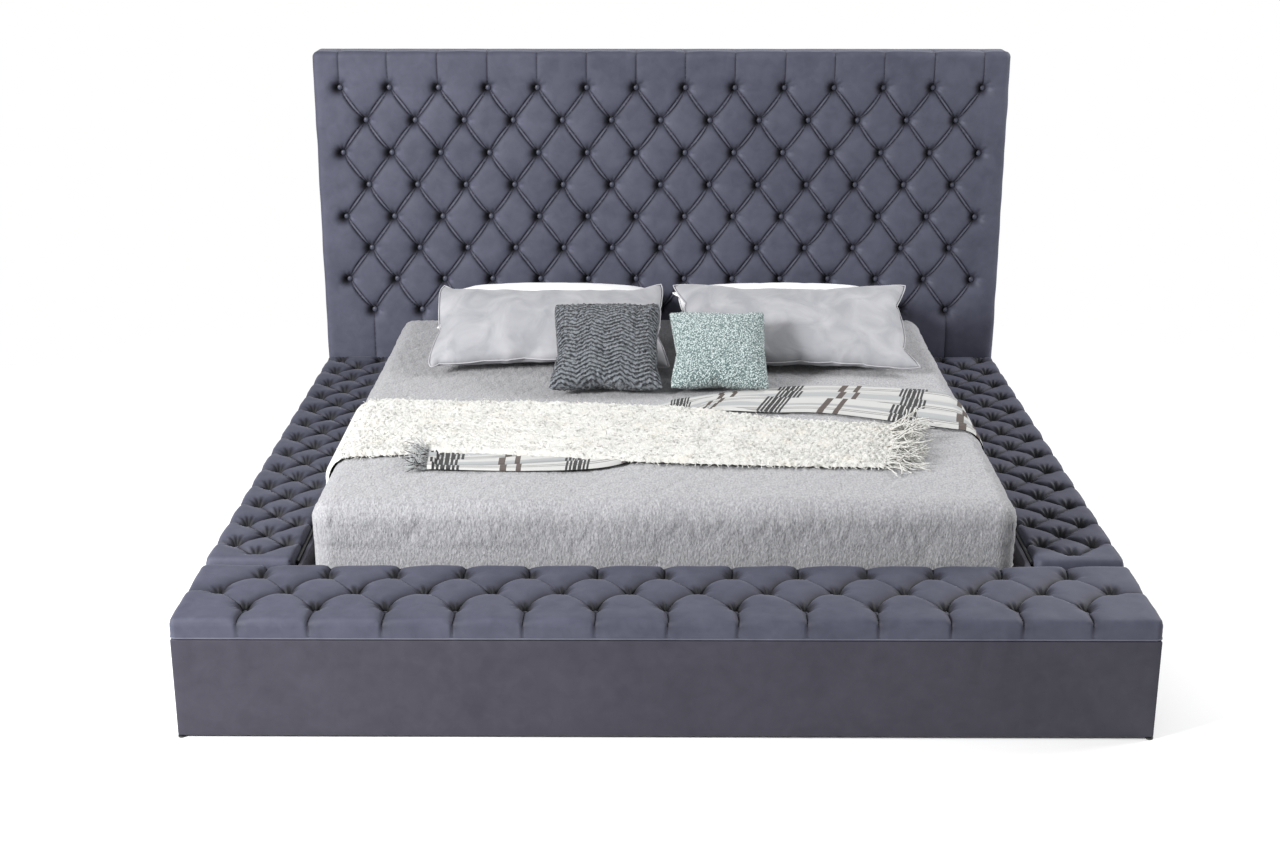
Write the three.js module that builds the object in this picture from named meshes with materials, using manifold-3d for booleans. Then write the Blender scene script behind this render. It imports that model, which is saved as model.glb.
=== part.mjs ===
// Upholstered storage bed: a button-tufted headboard, a foot bench and two side boxes with hinged
// tufted lids, a mattress platform between them, and its bedding.
// Millimetres, +Z up. The foot bench is toward -Y and the headboard toward +Y. The origin is on the
// floor under the middle of the bed. Inside the plan group, y runs from the bench's front face.

import * as THREE from 'three';
import { mergeVertices } from 'three/addons/utils/BufferGeometryUtils.js';
import Module from 'manifold-3d';

const wasm = await Module();
wasm.setup();

// Bedding
const mattressWidth = 1930;
const mattressLength = 2030;
const mattressHeight = 250;
const mattressHeadGap = 5;
const quiltThickness = 10;
const quiltHemHeight = 300;
const quiltHeadInset = 90;
const throwThickness = 12;
const throwWidth = 520;
const throwReach = 700;
const throwHang = 150;
const throwFromFoot = 310;
const plaidThickness = 6;
const plaidWidth = 420;
const plaidReach = 660;
const plaidHang = 70;
const plaidFromFoot = 860;

// Boxes
const caseHeight = 281;
const panelThickness = 20;
const railThickness = 16;
const floorThickness = 12;
const floorHeight = 20;
const dividerThickness = 18;
const floorClearance = 5;
const benchLidDepth = 372;
const sideLidDepth = 244;

// Lids and their piano hinges
const lidThickness = 54;
const lidBoardThickness = 15;
const lidSkirt = 8;
const lidEdgeRadius = 18;
const lidCornerRadius = 14;
const hingeRise = 31;
const hingeEndInset = 40;
const knuckleRadius = 4.5;
const leafThickness = 1.6;
const pinRadius = 2;
const pinClearance = 0.4;
const knuckleCount = 15;
const knuckleGap = 1;
const leafInset = 2;

// Headboard
const headboardHeight = 1480;
const headboardThickness = 110;
const headboardPadDepth = 48;
const headboardReturn = 14;
const headboardEdgeRadius = 20;
const headboardCornerRadius = 24;
const headboardFloorGap = 6;
const faceBoardThickness = 12;
const backCoverThickness = 6;
const backCoverBottom = 40;
const stileWidth = 70;
const railHeight = 90;
const bottomRailHeight = 190;

// Platform
const platformHeight = 240;
const platformBoardThickness = 18;
const platformBoardCount = 4;
const platformBoardGap = 4;
const beamWidth = 70;
const beamHeight = 90;
const cleatWidth = 30;
const cleatHeight = 45;
const legWidth = 60;
const legCount = 2;

// Glides
const glideRadius = 10;

// Clearances: gap is between pieces that touch, and the rooms keep opening lids off the bedding
const gap = 0.3;
const beddingRoom = 10;
const footRoom = 3;
const sideLidHeadGap = 6;
const lidRest = 2.6;
const railTopRise = 2;

// Heights and the hinge's place, which the boxes and the bedding follow
const hingeOffset = knuckleRadius + gap;
const lidBottom = caseHeight + gap;
const axisHeight = lidBottom + hingeRise;
const railTop = axisHeight + railTopRise;
const lidSweep = Math.hypot(hingeOffset, lidThickness - hingeRise);
const mattressBottom = platformHeight + gap;
const mattressTop = mattressBottom + mattressHeight;
const quiltTop = mattressTop + gap + quiltThickness;
const plaidTop = quiltTop + gap + plaidThickness;
const throwTop = plaidTop + gap + throwThickness;

// Plan, across: from the mattress out to the side boxes' outer faces
const quiltSide = mattressWidth / 2 + gap + quiltThickness;
const beddingSide = quiltSide + gap + throwThickness;
const sideAxis = beddingSide + beddingRoom + lidSweep;
const sideRailOuter = sideAxis - hingeOffset;
const sideRailInner = sideRailOuter - railThickness;
const sideLidInner = sideAxis + hingeOffset;
const halfWidth = sideLidInner + sideLidDepth;

// Plan, along: from the bench's front face to the headboard's back
const benchAxis = benchLidDepth + hingeOffset;
const benchRailFront = benchAxis + hingeOffset;
const benchRailBack = benchRailFront + railThickness;
const quiltFoot = benchAxis + lidSweep + footRoom;
const mattressFoot = quiltFoot + quiltThickness + gap;
const headboardFace = mattressFoot + mattressLength + mattressHeadGap;
const bedLength = headboardFace + headboardThickness;
const sideFoot = benchRailBack + gap;
const sideHead = headboardFace - gap;

// Materials
function material(color, roughness, metalness = 0) {
  return new THREE.MeshStandardMaterial({ color, roughness, metalness });
}

const velvet = material(0x545a68, 0.85);
const darkVelvet = material(0x434957, 0.88);
const lining = material(0x2e3036, 0.9);
const pine = material(0xc9a56e, 0.65);
const plywood = material(0xb98f5c, 0.6);
const steel = material(0xb8b8b4, 0.35, 0.9);
const plastic = material(0x17181a, 0.5);
const ticking = material(0xe9e6df, 0.85);
const quiltCotton = material(0xb9bcc1, 0.9);
const whiteCotton = material(0xeeeeee, 0.85);
const greyCotton = material(0x9fa3aa, 0.8);
const slateKnit = material(0x4c5057, 0.9);
const mintKnit = material(0xa9c4b8, 0.95);
const whiteWool = material(0xe6e4df, 0.95);
const plaidWool = material(0x8c8378, 0.9);

// Shapes
function toSolid(geometry) {
  const bare = geometry.clone();
  bare.deleteAttribute('normal');
  bare.deleteAttribute('uv');
  const { attributes, index } = mergeVertices(bare, 1e-3);
  const vertProperties = attributes.position.array;
  const triVerts = Uint32Array.from(index.array);
  return new wasm.Manifold(new wasm.Mesh({ numProp: 3, vertProperties, triVerts }));
}

function toGeometry(solid) {
  const { vertProperties, triVerts } = solid.getMesh();
  const geometry = new THREE.BufferGeometry();
  geometry.setAttribute('position', new THREE.BufferAttribute(vertProperties, 3));
  geometry.setIndex(new THREE.BufferAttribute(triVerts, 1));
  geometry.computeVertexNormals();
  return geometry;
}

function span(x, y, z) {
  const block = new THREE.BoxGeometry(x[1] - x[0], y[1] - y[0], z[1] - z[0]);
  return block.translate((x[0] + x[1]) / 2, (y[0] + y[1]) / 2, (z[0] + z[1]) / 2);
}

function roundedOutline(x, y, radius) {
  const outline = new THREE.Shape();
  outline.absarc(x[1] - radius, y[0] + radius, radius, -Math.PI / 2, 0);
  outline.absarc(x[1] - radius, y[1] - radius, radius, 0, Math.PI / 2);
  outline.absarc(x[0] + radius, y[1] - radius, radius, Math.PI / 2, Math.PI);
  outline.absarc(x[0] + radius, y[0] + radius, radius, Math.PI, Math.PI * 1.5);
  return outline;
}

// A block with rounded corners and rounded edges on both its faces, from z[0] to z[1]
function softBlock(x, y, z, edge, corner) {
  const inset = ([low, high]) => [low + edge, high - edge];
  const outline = roundedOutline(inset(x), inset(y), corner);
  const options = { bevelThickness: edge, bevelSize: edge, bevelSegments: 3, curveSegments: 4 };
  const block = new THREE.ExtrudeGeometry(outline, { ...options, depth: z[1] - z[0] - 2 * edge });
  return block.translate(0, 0, z[0] + edge);
}

// The same block with its lower edges square, and hollowed from below by a block that fits what it wraps
function softTray(x, y, height, edge, corner, hollow) {
  const block = toSolid(softBlock(x, y, [-2 * edge, height], edge, corner));
  const under = toSolid(span([2 * x[0], 2 * x[1]], [y[0] - edge, y[1] + edge], [-3 * edge, 0]));
  return toGeometry(block.subtract(under).subtract(toSolid(hollow)));
}

function cylinder(radius, length, sides) {
  return new THREE.CylinderGeometry(radius, radius, length, sides).rotateZ(Math.PI / 2);
}

// A filled cover with four corners: thick in the middle, thin round its edge, standing in the XZ plane
function pillowGeometry(width, height, thickness) {
  const squareness = 5;
  const shape = new THREE.SphereGeometry(1, 24, 10);
  const place = shape.attributes.position;
  for (let i = 0; i < place.count; i += 1) {
    const across = place.getX(i);
    const up = place.getZ(i);
    const out = Math.hypot(across, up);
    const spread = Math.abs(across / out) ** squareness + Math.abs(up / out) ** squareness;
    const reach = out > 0 ? spread ** (-1 / squareness) : 1;
    place.setXYZ(i, across * reach * width / 2, place.getY(i) * thickness / 2, up * reach * height / 2);
  }
  return shape;
}

// Scene graph
const bed = new THREE.Group();
const plan = new THREE.Group();
plan.position.y = -bedLength / 2;
bed.add(plan);

function add(parent, name, geometry, look) {
  const mesh = new THREE.Mesh(geometry, look);
  mesh.name = name;
  parent.add(mesh);
  return mesh;
}

const sides = [['left', -1], ['right', 1]];

function mirrored(side, [low, high]) {
  return side < 0 ? [-high, -low] : [low, high];
}

// Headboard: a timber frame with a board on its face, a padded tufted cover and a back cover
function buildHeadboard() {
  const coverInside = halfWidth - headboardReturn - gap;
  const topInside = headboardHeight - headboardReturn - gap;
  const padBack = headboardFace + headboardPadDepth + gap;
  const faceBoard = [padBack, padBack + faceBoardThickness];
  const backCover = [bedLength - backCoverThickness, bedLength];
  const frame = [faceBoard[1] + gap, backCover[0] - gap];
  const inner = coverInside - stileWidth - gap;
  const post = stileWidth / 2;

  const height = headboardHeight - headboardFloorGap;
  const pocket = span(
    [-coverInside - gap, coverInside + gap],
    [-headboardEdgeRadius, height - headboardReturn],
    [-headboardEdgeRadius, headboardThickness - headboardPadDepth],
  );
  const cover = softTray([-halfWidth, halfWidth], [0, height], headboardThickness,
    headboardEdgeRadius, headboardCornerRadius, pocket);
  const pad = add(plan, 'headboard_pad', cover, velvet);
  pad.rotation.x = Math.PI / 2;
  pad.position.set(0, bedLength, headboardFloorGap);

  const across = [-coverInside, coverInside];
  add(plan, 'headboard_face_board', span(across, faceBoard, [headboardFloorGap, topInside]), plywood);
  add(plan, 'headboard_back_cover', span(across, backCover, [backCoverBottom, topInside]), lining);
  for (const [word, side] of sides) {
    const stile = span(mirrored(side, [coverInside - stileWidth, coverInside]), frame, [0, topInside]);
    add(plan, `headboard_stile_${word}`, stile, pine);
  }
  const topRail = [topInside - railHeight, topInside];
  const bottomRail = [bottomRailHeight, bottomRailHeight + railHeight];
  add(plan, 'headboard_top_rail', span([-inner, inner], frame, topRail), pine);
  add(plan, 'headboard_bottom_rail', span([-inner, inner], frame, bottomRail), pine);
  const between = [bottomRail[1] + gap, topRail[0] - gap];
  add(plan, 'headboard_centre_post', span([-post, post], frame, between), pine);
}

// A piano hinge along x at a group's origin: the fixed leaf is on +y and the moving leaf on -y
function leafGeometry(length, side, firstKnuckle) {
  const pitch = length / knuckleCount;
  const y = mirrored(side, [knuckleRadius - leafThickness, knuckleRadius]);
  const plateTop = -knuckleRadius - knuckleGap;
  let leaf = toSolid(span([-length / 2, length / 2], y, [leafInset - hingeRise, plateTop]));
  let bores = null;
  for (let i = firstKnuckle; i < knuckleCount; i += 2) {
    const x = -length / 2 + (i + 0.5) * pitch;
    const half = (pitch - knuckleGap) / 2;
    const knuckle = toSolid(cylinder(knuckleRadius, 2 * half, 16).translate(x, 0, 0));
    const strap = toSolid(span([x - half, x + half], y, [plateTop - 1, 0]));
    const bore = toSolid(cylinder(pinRadius + pinClearance, pitch, 16).translate(x, 0, 0));
    leaf = leaf.add(knuckle).add(strap);
    bores = bores ? bores.add(bore) : bore;
  }
  return toGeometry(leaf.subtract(bores));
}

// A lid with its hinge, in a group on the hinge's axis: the lid reaches toward -y
function buildLid(name, length, depth, place, angle) {
  const hung = new THREE.Group();
  hung.position.set(place.x, place.y, axisHeight);
  hung.rotation.z = angle;
  plan.add(hung);

  const across = [-length / 2, length / 2];
  const along = [-hingeOffset - depth, -hingeOffset];
  const boardAcross = [across[0] + lidSkirt, across[1] - lidSkirt];
  const boardAlong = [along[0] + lidSkirt, along[1]];
  const board = span(boardAcross, boardAlong, [0, lidBoardThickness]);
  const pocket = span(
    [boardAcross[0] - gap, boardAcross[1] + gap],
    [boardAlong[0] - gap, boardAlong[1] + lidEdgeRadius],
    [-lidEdgeRadius, lidBoardThickness + gap],
  );
  const cover = softTray(across, along, lidThickness, lidEdgeRadius, lidCornerRadius, pocket);
  add(hung, `${name}_lid_board`, board.translate(0, 0, -hingeRise), plywood);
  add(hung, `${name}_lid_pad`, cover.translate(0, 0, -hingeRise), velvet);

  const hingeLength = length - 2 * hingeEndInset;
  add(hung, `${name}_hinge_fixed_leaf`, leafGeometry(hingeLength, 1, 0), steel);
  add(hung, `${name}_hinge_moving_leaf`, leafGeometry(hingeLength, -1, 1), steel);
  add(hung, `${name}_hinge_pin`, cylinder(pinRadius, hingeLength, 16), steel);
}

// Foot bench: a box across the whole foot, whose back panel rises behind the lid to carry its hinge
function buildBench() {
  const panelZ = [floorClearance, caseHeight];
  const inside = halfWidth - panelThickness - gap;
  const floorTop = floorHeight + floorThickness;
  const between = [panelThickness + gap, benchRailFront - gap];
  add(plan, 'bench_front_panel', span([-halfWidth, halfWidth], [0, panelThickness], panelZ), velvet);
  add(plan, 'bench_back_panel',
    span([-halfWidth, halfWidth], [benchRailFront, benchRailBack], [floorClearance, railTop]), darkVelvet);
  add(plan, 'bench_floor', span([-inside, inside], between, [floorHeight, floorTop]), lining);
  add(plan, 'bench_divider',
    span([-dividerThickness / 2, dividerThickness / 2], between, [floorTop + gap, caseHeight]), lining);
  for (const [word, side] of sides) {
    const end = span(mirrored(side, [halfWidth - panelThickness, halfWidth]), between, panelZ);
    add(plan, `bench_end_${word}`, end, velvet);
    const height = floorClearance - gap;
    const glide = new THREE.CylinderGeometry(glideRadius, glideRadius, height, 24);
    const mesh = add(plan, `bench_glide_${word}`, glide.rotateX(Math.PI / 2), plastic);
    mesh.position.set(side * (halfWidth - panelThickness / 2), panelThickness / 2, height / 2);
  }
  buildLid('bench', 2 * halfWidth, benchLidDepth, { x: 0, y: benchAxis }, 0);
}

// Side boxes: each between the bench and the headboard, with its inner panel carrying the hinge
function buildSideBoxes() {
  const outerInside = halfWidth - panelThickness;
  const between = [sideRailOuter + gap, outerInside - gap];
  const footEnd = [sideFoot, quiltFoot + lidSkirt + lidRest];
  const headEnd = [sideHead - railThickness, sideHead];
  const lidSpan = [quiltFoot, headboardFace - sideLidHeadGap];
  const panelZ = [floorClearance, caseHeight];
  for (const [word, side] of sides) {
    const inner = mirrored(side, [sideRailInner, sideRailOuter]);
    const outer = mirrored(side, [outerInside, halfWidth]);
    const x = mirrored(side, between);
    const y = [sideFoot, sideHead];
    add(plan, `side_outer_panel_${word}`, span(outer, y, panelZ), velvet);
    add(plan, `side_inner_panel_${word}`, span(inner, y, [floorClearance, railTop]), darkVelvet);
    add(plan, `side_foot_end_${word}`, span(x, footEnd, panelZ), lining);
    add(plan, `side_head_end_${word}`, span(x, headEnd, panelZ), lining);
    add(plan, `side_floor_${word}`,
      span(x, [footEnd[1] + gap, headEnd[0] - gap], [floorHeight, floorHeight + floorThickness]), lining);
    buildLid(`${word}`, lidSpan[1] - lidSpan[0], sideLidDepth,
      { x: side * sideAxis, y: (lidSpan[0] + lidSpan[1]) / 2 }, side * Math.PI / 2);
  }
}

// Platform: boards on two cleats and a centre beam on legs
function buildPlatform() {
  const edge = sideRailInner - gap;
  const y = [sideFoot, sideHead];
  const boardBottom = platformHeight - platformBoardThickness;
  const underside = boardBottom - gap;
  const beam = [underside - beamHeight, underside];
  add(plan, 'centre_beam', span([-beamWidth / 2, beamWidth / 2], y, beam), pine);
  for (const [word, side] of sides) {
    const cleat = span(mirrored(side, [edge - cleatWidth, edge]), y, [underside - cleatHeight, underside]);
    add(plan, `platform_cleat_${word}`, cleat, pine);
  }
  const pitch = (y[1] - y[0] + platformBoardGap) / platformBoardCount;
  for (let i = 0; i < platformBoardCount; i += 1) {
    const board = [y[0] + i * pitch, y[0] + (i + 1) * pitch - platformBoardGap];
    add(plan, `platform_board_${i + 1}`, span([-edge, edge], board, [boardBottom, platformHeight]), plywood);
  }
  for (let i = 1; i <= legCount; i += 1) {
    const middle = y[0] + i * (y[1] - y[0]) / (legCount + 1);
    const along = [middle - legWidth / 2, middle + legWidth / 2];
    const leg = span([-legWidth / 2, legWidth / 2], along, [0, beam[0] - gap]);
    add(plan, `centre_leg_${i}`, leg, pine);
  }
}

// Mattress and quilt; the quilt covers the mattress's top, foot and sides
function buildMattress() {
  const half = mattressWidth / 2;
  const edge = 20;
  const corner = 40;
  const y = [mattressFoot, mattressFoot + mattressLength];
  add(plan, 'mattress', softBlock([-half, half], y, [mattressBottom, mattressTop], edge, corner), ticking);

  const quiltHead = headboardFace - quiltHeadInset;
  const block = softBlock([-quiltSide, quiltSide], [quiltFoot, y[1]], [quiltHemHeight - 2 * edge, quiltTop],
    edge + quiltThickness, corner);
  const inside = softBlock([-half - gap, half + gap], [mattressFoot - gap, y[1] + 4 * edge],
    [quiltHemHeight - 4 * edge, mattressTop + gap], edge, corner);
  const below = span([-halfWidth, halfWidth], [0, bedLength], [0, quiltHemHeight]);
  const beyond = span([-halfWidth, halfWidth], [quiltHead, bedLength], [0, 2 * quiltTop]);
  const quilt = toSolid(block).subtract(toSolid(inside)).subtract(toSolid(below)).subtract(toSolid(beyond));
  add(plan, 'quilt', toGeometry(quilt), quiltCotton);
}

// Two throws across the bed: each lies on the quilt and its end hangs over one side
function throwGeometry(thickness, top, reach, hangingSide, hang, width) {
  const inner = hangingSide - thickness;
  const bottom = top - thickness;
  const hem = quiltTop - hang;
  const outline = new THREE.Shape();
  outline.moveTo(-reach, bottom);
  outline.lineTo(inner, bottom);
  outline.lineTo(inner, hem);
  outline.lineTo(hangingSide, hem);
  outline.lineTo(hangingSide, top - thickness / 2);
  outline.lineTo(hangingSide - thickness / 2, top);
  outline.lineTo(-reach, top);
  return new THREE.ExtrudeGeometry(outline, { depth: width, bevelEnabled: false }).rotateX(Math.PI / 2);
}

function buildThrows() {
  const plaidSide = quiltSide + gap + plaidThickness;
  const plaid = throwGeometry(plaidThickness, plaidTop, plaidReach, plaidSide, plaidHang, plaidWidth);
  add(plan, 'plaid_throw', plaid, plaidWool).position.y = mattressFoot + plaidFromFoot;
  const white = throwGeometry(throwThickness, throwTop, throwReach, beddingSide, throwHang, throwWidth);
  const mesh = add(plan, 'white_throw', white, whiteWool);
  mesh.rotation.z = Math.PI;
  mesh.position.y = mattressFoot + throwFromFoot;
}

// Pillows, shams and cushions: each a filled cover, back from the headboard, leaning up from flat
function buildPillows() {
  const pillow = { look: whiteCotton, size: [800, 470, 150], back: 245, lean: 2, lift: 81 };
  const sham = { look: greyCotton, size: [830, 490, 140], back: 613, lean: 22, lift: 117 };
  const cushion = { look: slateKnit, size: [385, 400, 150], back: 908, lean: 32, lift: 127 };
  const smallCushion = { look: mintKnit, size: [345, 355, 140], back: 912, lean: 32, lift: 115 };
  const rows = [
    { name: 'pillow_left', x: -395, ...pillow },
    { name: 'pillow_right', x: 440, ...pillow },
    { name: 'sham_left', x: -388, ...sham },
    { name: 'sham_right', x: 455, ...sham },
    { name: 'slate_cushion', x: -183, ...cushion },
    { name: 'mint_cushion', x: 189, ...smallCushion },
  ];
  for (const { name, look, size, x, back, lean, lift } of rows) {
    const mesh = add(plan, name, pillowGeometry(...size), look);
    mesh.rotation.x = THREE.MathUtils.degToRad(lean - 90);
    mesh.position.set(x, headboardFace - back, quiltTop + lift);
  }
}

buildHeadboard();
buildBench();
buildSideBoxes();
buildPlatform();
buildMattress();
buildThrows();
buildPillows();

export default bed;
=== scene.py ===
import math

import bmesh
import bpy
import numpy as np
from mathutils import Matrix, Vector
from mathutils.geometry import delaunay_2d_cdt


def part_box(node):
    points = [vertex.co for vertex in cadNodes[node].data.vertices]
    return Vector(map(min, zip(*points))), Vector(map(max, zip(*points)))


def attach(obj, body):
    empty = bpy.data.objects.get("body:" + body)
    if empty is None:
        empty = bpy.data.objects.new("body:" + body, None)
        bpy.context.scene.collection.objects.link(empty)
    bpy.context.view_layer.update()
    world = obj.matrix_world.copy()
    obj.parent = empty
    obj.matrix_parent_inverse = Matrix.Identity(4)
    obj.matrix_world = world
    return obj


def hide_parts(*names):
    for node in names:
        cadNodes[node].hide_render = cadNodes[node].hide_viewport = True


# An upholstered storage bed: tufted headboard, tufted bench and side lids, dressed bedding.
# Metres. The foot bench is toward -Y, the headboard toward +Y.

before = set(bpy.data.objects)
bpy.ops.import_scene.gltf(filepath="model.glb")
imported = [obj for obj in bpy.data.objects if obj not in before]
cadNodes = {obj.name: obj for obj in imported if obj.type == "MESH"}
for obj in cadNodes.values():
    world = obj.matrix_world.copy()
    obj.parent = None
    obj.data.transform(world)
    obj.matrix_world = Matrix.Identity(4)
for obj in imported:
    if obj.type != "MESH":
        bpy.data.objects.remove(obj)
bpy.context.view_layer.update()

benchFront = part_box("bench_front_panel")[0].y  # plan distances below run from here
quiltLow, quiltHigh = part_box("quilt")
quiltTop = quiltHigh.z
words = (("left", -1), ("right", 1))


class Wire:  # an output socket: arithmetic on it adds Math nodes
    def __init__(self, look, socket):
        self.look = look
        self.socket = socket

    def math(self, operation, first, second=0.0):
        return self.look.node("ShaderNodeMath", {"operation": operation}, {0: first, 1: second})

    def __add__(self, other):
        return self.math("ADD", self, other)

    def __sub__(self, other):
        return self.math("SUBTRACT", self, other)

    def __mul__(self, other):
        return self.math("MULTIPLY", self, other)

    def __truediv__(self, other):
        return self.math("DIVIDE", self, other)

    def __radd__(self, other):
        return self.math("ADD", other, self)

    def __rsub__(self, other):
        return self.math("SUBTRACT", other, self)

    def __rmul__(self, other):
        return self.math("MULTIPLY", other, self)

    def __rtruediv__(self, other):
        return self.math("DIVIDE", other, self)

    def sine(self):
        return self.math("SINE", self)

    def over(self, level):
        return self.math("GREATER_THAN", self, level)

    def most(self, other):
        return self.math("MAXIMUM", self, other)

    def absolute(self):
        return self.math("ABSOLUTE", self)

    def fraction(self):
        return self.math("FRACT", self)


class Look:  # a material being built
    def __init__(self, name):
        self.material = bpy.data.materials.new(name)
        self.material.use_nodes = True
        self.tree = self.material.node_tree
        self.shader = self.tree.nodes["Principled BSDF"]

    def node(self, kind, settings=None, sockets=None, output=0):
        made = self.tree.nodes.new(kind)
        for key, value in (settings or {}).items():
            if key == "stops":
                ramp = made.color_ramp
                while len(ramp.elements) < len(value):
                    ramp.elements.new(0.5)
                for element, (place, colour) in zip(ramp.elements, value):
                    element.position = place
                    element.color = (*colour, 1.0)
            else:
                setattr(made, key, value)
        for key, value in (sockets or {}).items():
            if isinstance(value, Wire):
                self.tree.links.new(value.socket, made.inputs[key])
            else:
                made.inputs[key].default_value = value
        return Wire(self, made.outputs[output])

    def place(self, stretch=(1, 1, 1)):
        at = self.node("ShaderNodeTexCoord", output=3)
        return self.node("ShaderNodeMapping", {}, {"Vector": at, "Scale": stretch})

    def noise(self, at, scale, detail=2.0, roughness=0.5, distortion=0.0):
        sockets = {"Vector": at, "Scale": scale, "Detail": detail, "Roughness": roughness}
        return self.node("ShaderNodeTexNoise", {}, {**sockets, "Distortion": distortion})

    def cells(self, at, scale):
        return self.node("ShaderNodeTexVoronoi", {}, {"Vector": at, "Scale": scale})

    def cloth(self):  # the piece's own flat-cloth places, in metres along and across
        return self.node("ShaderNodeAttribute", {"attribute_name": "cloth"}, output=1)

    def axis(self, at, number):
        split = self.node("ShaderNodeSeparateXYZ", {}, {0: at})
        return Wire(self, split.socket.node.outputs[number])

    def pull(self):  # painted shade, 0 to 1, where the cloth is drawn in or folds under; painted highlight below 0, on a crest
        return self.node("ShaderNodeAttribute", {"attribute_name": "pull"}, output=2)

    def blend(self, share, low, high):
        low, high = ((*c, 1.0) if isinstance(c, tuple) else c for c in (low, high))
        return self.node("ShaderNodeMix", {"data_type": "RGBA"}, {0: share, 6: low, 7: high}, output=2)

    def fade(self, share, start, end, levels=(0, 1)):  # the first level up to start, the second from end on
        stops = [(start, (levels[0],) * 3), (end, (levels[1],) * 3)]
        return self.node("ShaderNodeValToRGB", {"stops": stops}, {0: share})

    def bump(self, height, strength, distance, under=None):
        sockets = {"Height": height, "Strength": strength, "Distance": distance}
        if under:
            sockets["Normal"] = under
        return self.node("ShaderNodeBump", {}, sockets)

    def finish(self, **sockets):
        for name, value in sockets.items():
            place = self.shader.inputs[name.replace("_", " ")]
            if isinstance(value, Wire):
                self.tree.links.new(value.socket, place)
            else:
                place.default_value = (*value, 1.0) if isinstance(value, tuple) else value
        return self.material


velvetValues = {
    "light": (0.061, 0.063, 0.091),
    "dark": (0.042, 0.044, 0.067),
    # deep is the painted shade colour in tufts, pits and pleats; glint is the painted highlight colour
    "deep": (0.0015, 0.0017, 0.003),
    "glint": (0.150, 0.155, 0.200),
    "roughness": 0.70,
    "sheen": 0.12,
    "sheenTint": (0.66, 0.67, 0.80),
    "napScale": 4.0,
    "pileScale": 900.0,
}


def velvet(name="velvet", values=velvetValues):
    look = Look(name)
    at = look.place()
    nap = look.noise(at, values["napScale"], 4.0, 0.55, 0.8)
    patch = look.noise(at, values["napScale"] * 7.0, 3.0, 0.5, 0.5)
    share = look.fade(nap * 0.6 + patch * 0.4, 0.36, 0.64)
    pile = look.noise(at, values["pileScale"], 1.0)
    paintedShadeAndHighlight = look.pull()
    colour = look.blend(share, values["dark"], values["light"])
    colour = look.blend(paintedShadeAndHighlight, colour, values["deep"])  # painted shade in the tufts, pits and pleats
    colour = look.blend(paintedShadeAndHighlight * -1.0, colour, values["glint"])  # and a painted highlight on a pleat's crest and beside each button
    normal = look.bump(pile, 0.25, 0.0006)
    normal = look.bump(patch, 0.15, 0.004, normal)
    return look.finish(
        Base_Color=colour, Roughness=values["roughness"], Normal=normal,
        Specular_IOR_Level=0.3, Sheen_Weight=values["sheen"], Sheen_Roughness=0.35,
        Sheen_Tint=values["sheenTint"],
    )


woodValues = {
    "pine": {"light": (0.66, 0.46, 0.22), "dark": (0.43, 0.26, 0.10), "rings": 26.0},
    "plywood": {
        "light": (0.56, 0.37, 0.17), "dark": (0.36, 0.21, 0.08), "rings": 18.0,
        "ply": 0.003, "edge": (0.30, 0.18, 0.08),
    },
}


def wood(name, along):  # along: the grain's axis, 0 x, 1 y, 2 z
    values = woodValues[name]
    stretch = [1.0, 1.0, 1.0]
    stretch[along] = 0.06
    look = Look(f"{name}_{'xyz'[along]}")
    at = look.place(tuple(stretch))
    figure = look.noise(at, values["rings"], 5.0, 0.6, 1.6)
    fibre = look.noise(at, 420.0, 2.0, 0.7)
    share = look.fade(figure * 0.75 + fibre * 0.25, 0.36, 0.62)
    colour = look.blend(share, values["dark"], values["light"])
    if name == "plywood":  # thin veneers, each turned to the next
        ply = (look.axis(look.place(), 2) / values["ply"]).fraction().over(0.5)
        colour = look.blend(ply * 0.35, colour, values["edge"])
    normal = look.bump(fibre * 0.5 + figure * 0.5, 0.35, 0.0008)
    return look.finish(Base_Color=colour, Roughness=0.55 + figure * 0.2, Normal=normal)


def boxLining():
    look = Look("box_lining")
    at = look.place()
    weave = look.noise(at, 700.0, 2.0, 0.7)
    fade = look.noise(at, 6.0, 3.0)
    colour = look.blend(fade, (0.026, 0.028, 0.032), (0.050, 0.052, 0.058))
    return look.finish(Base_Color=colour, Roughness=0.88, Normal=look.bump(weave, 0.5, 0.0006))


def hingeSteel():
    look = Look("hinge_steel")
    brushed = look.noise(look.place((0.05, 0.05, 1.0)), 600.0, 2.0, 0.6)
    fade = look.noise(look.place(), 30.0, 3.0)
    colour = look.blend(fade, (0.07, 0.07, 0.07), (0.12, 0.12, 0.12))
    normal = look.bump(brushed, 0.1, 0.0003)
    return look.finish(Base_Color=colour, Metallic=1.0, Roughness=0.38 + brushed * 0.2, Normal=normal)


def glidePlastic():
    look = Look("glide_plastic")
    grain = look.noise(look.place(), 900.0, 2.0, 0.6)
    colour = look.blend(grain, (0.008, 0.008, 0.009), (0.02, 0.02, 0.021))
    return look.finish(Base_Color=colour, Roughness=0.45 + grain * 0.2, Normal=look.bump(grain, 0.2, 0.0003))


def mattressTicking():
    look = Look("mattress_ticking")
    at = look.place()
    weave = look.noise(at, 800.0, 2.0, 0.7)
    quilting = look.cells(at, 14.0)
    colour = look.blend(quilting, (0.74, 0.72, 0.68), (0.86, 0.84, 0.80))
    normal = look.bump(weave, 0.4, 0.0005, look.bump(quilting, 0.5, 0.006))
    return look.finish(Base_Color=colour, Roughness=0.85, Normal=normal)


quiltValues = {
    "light": (0.345, 0.345, 0.358),
    "dark": (0.165, 0.165, 0.178),
    "crinkle": 180.0,
}


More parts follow.
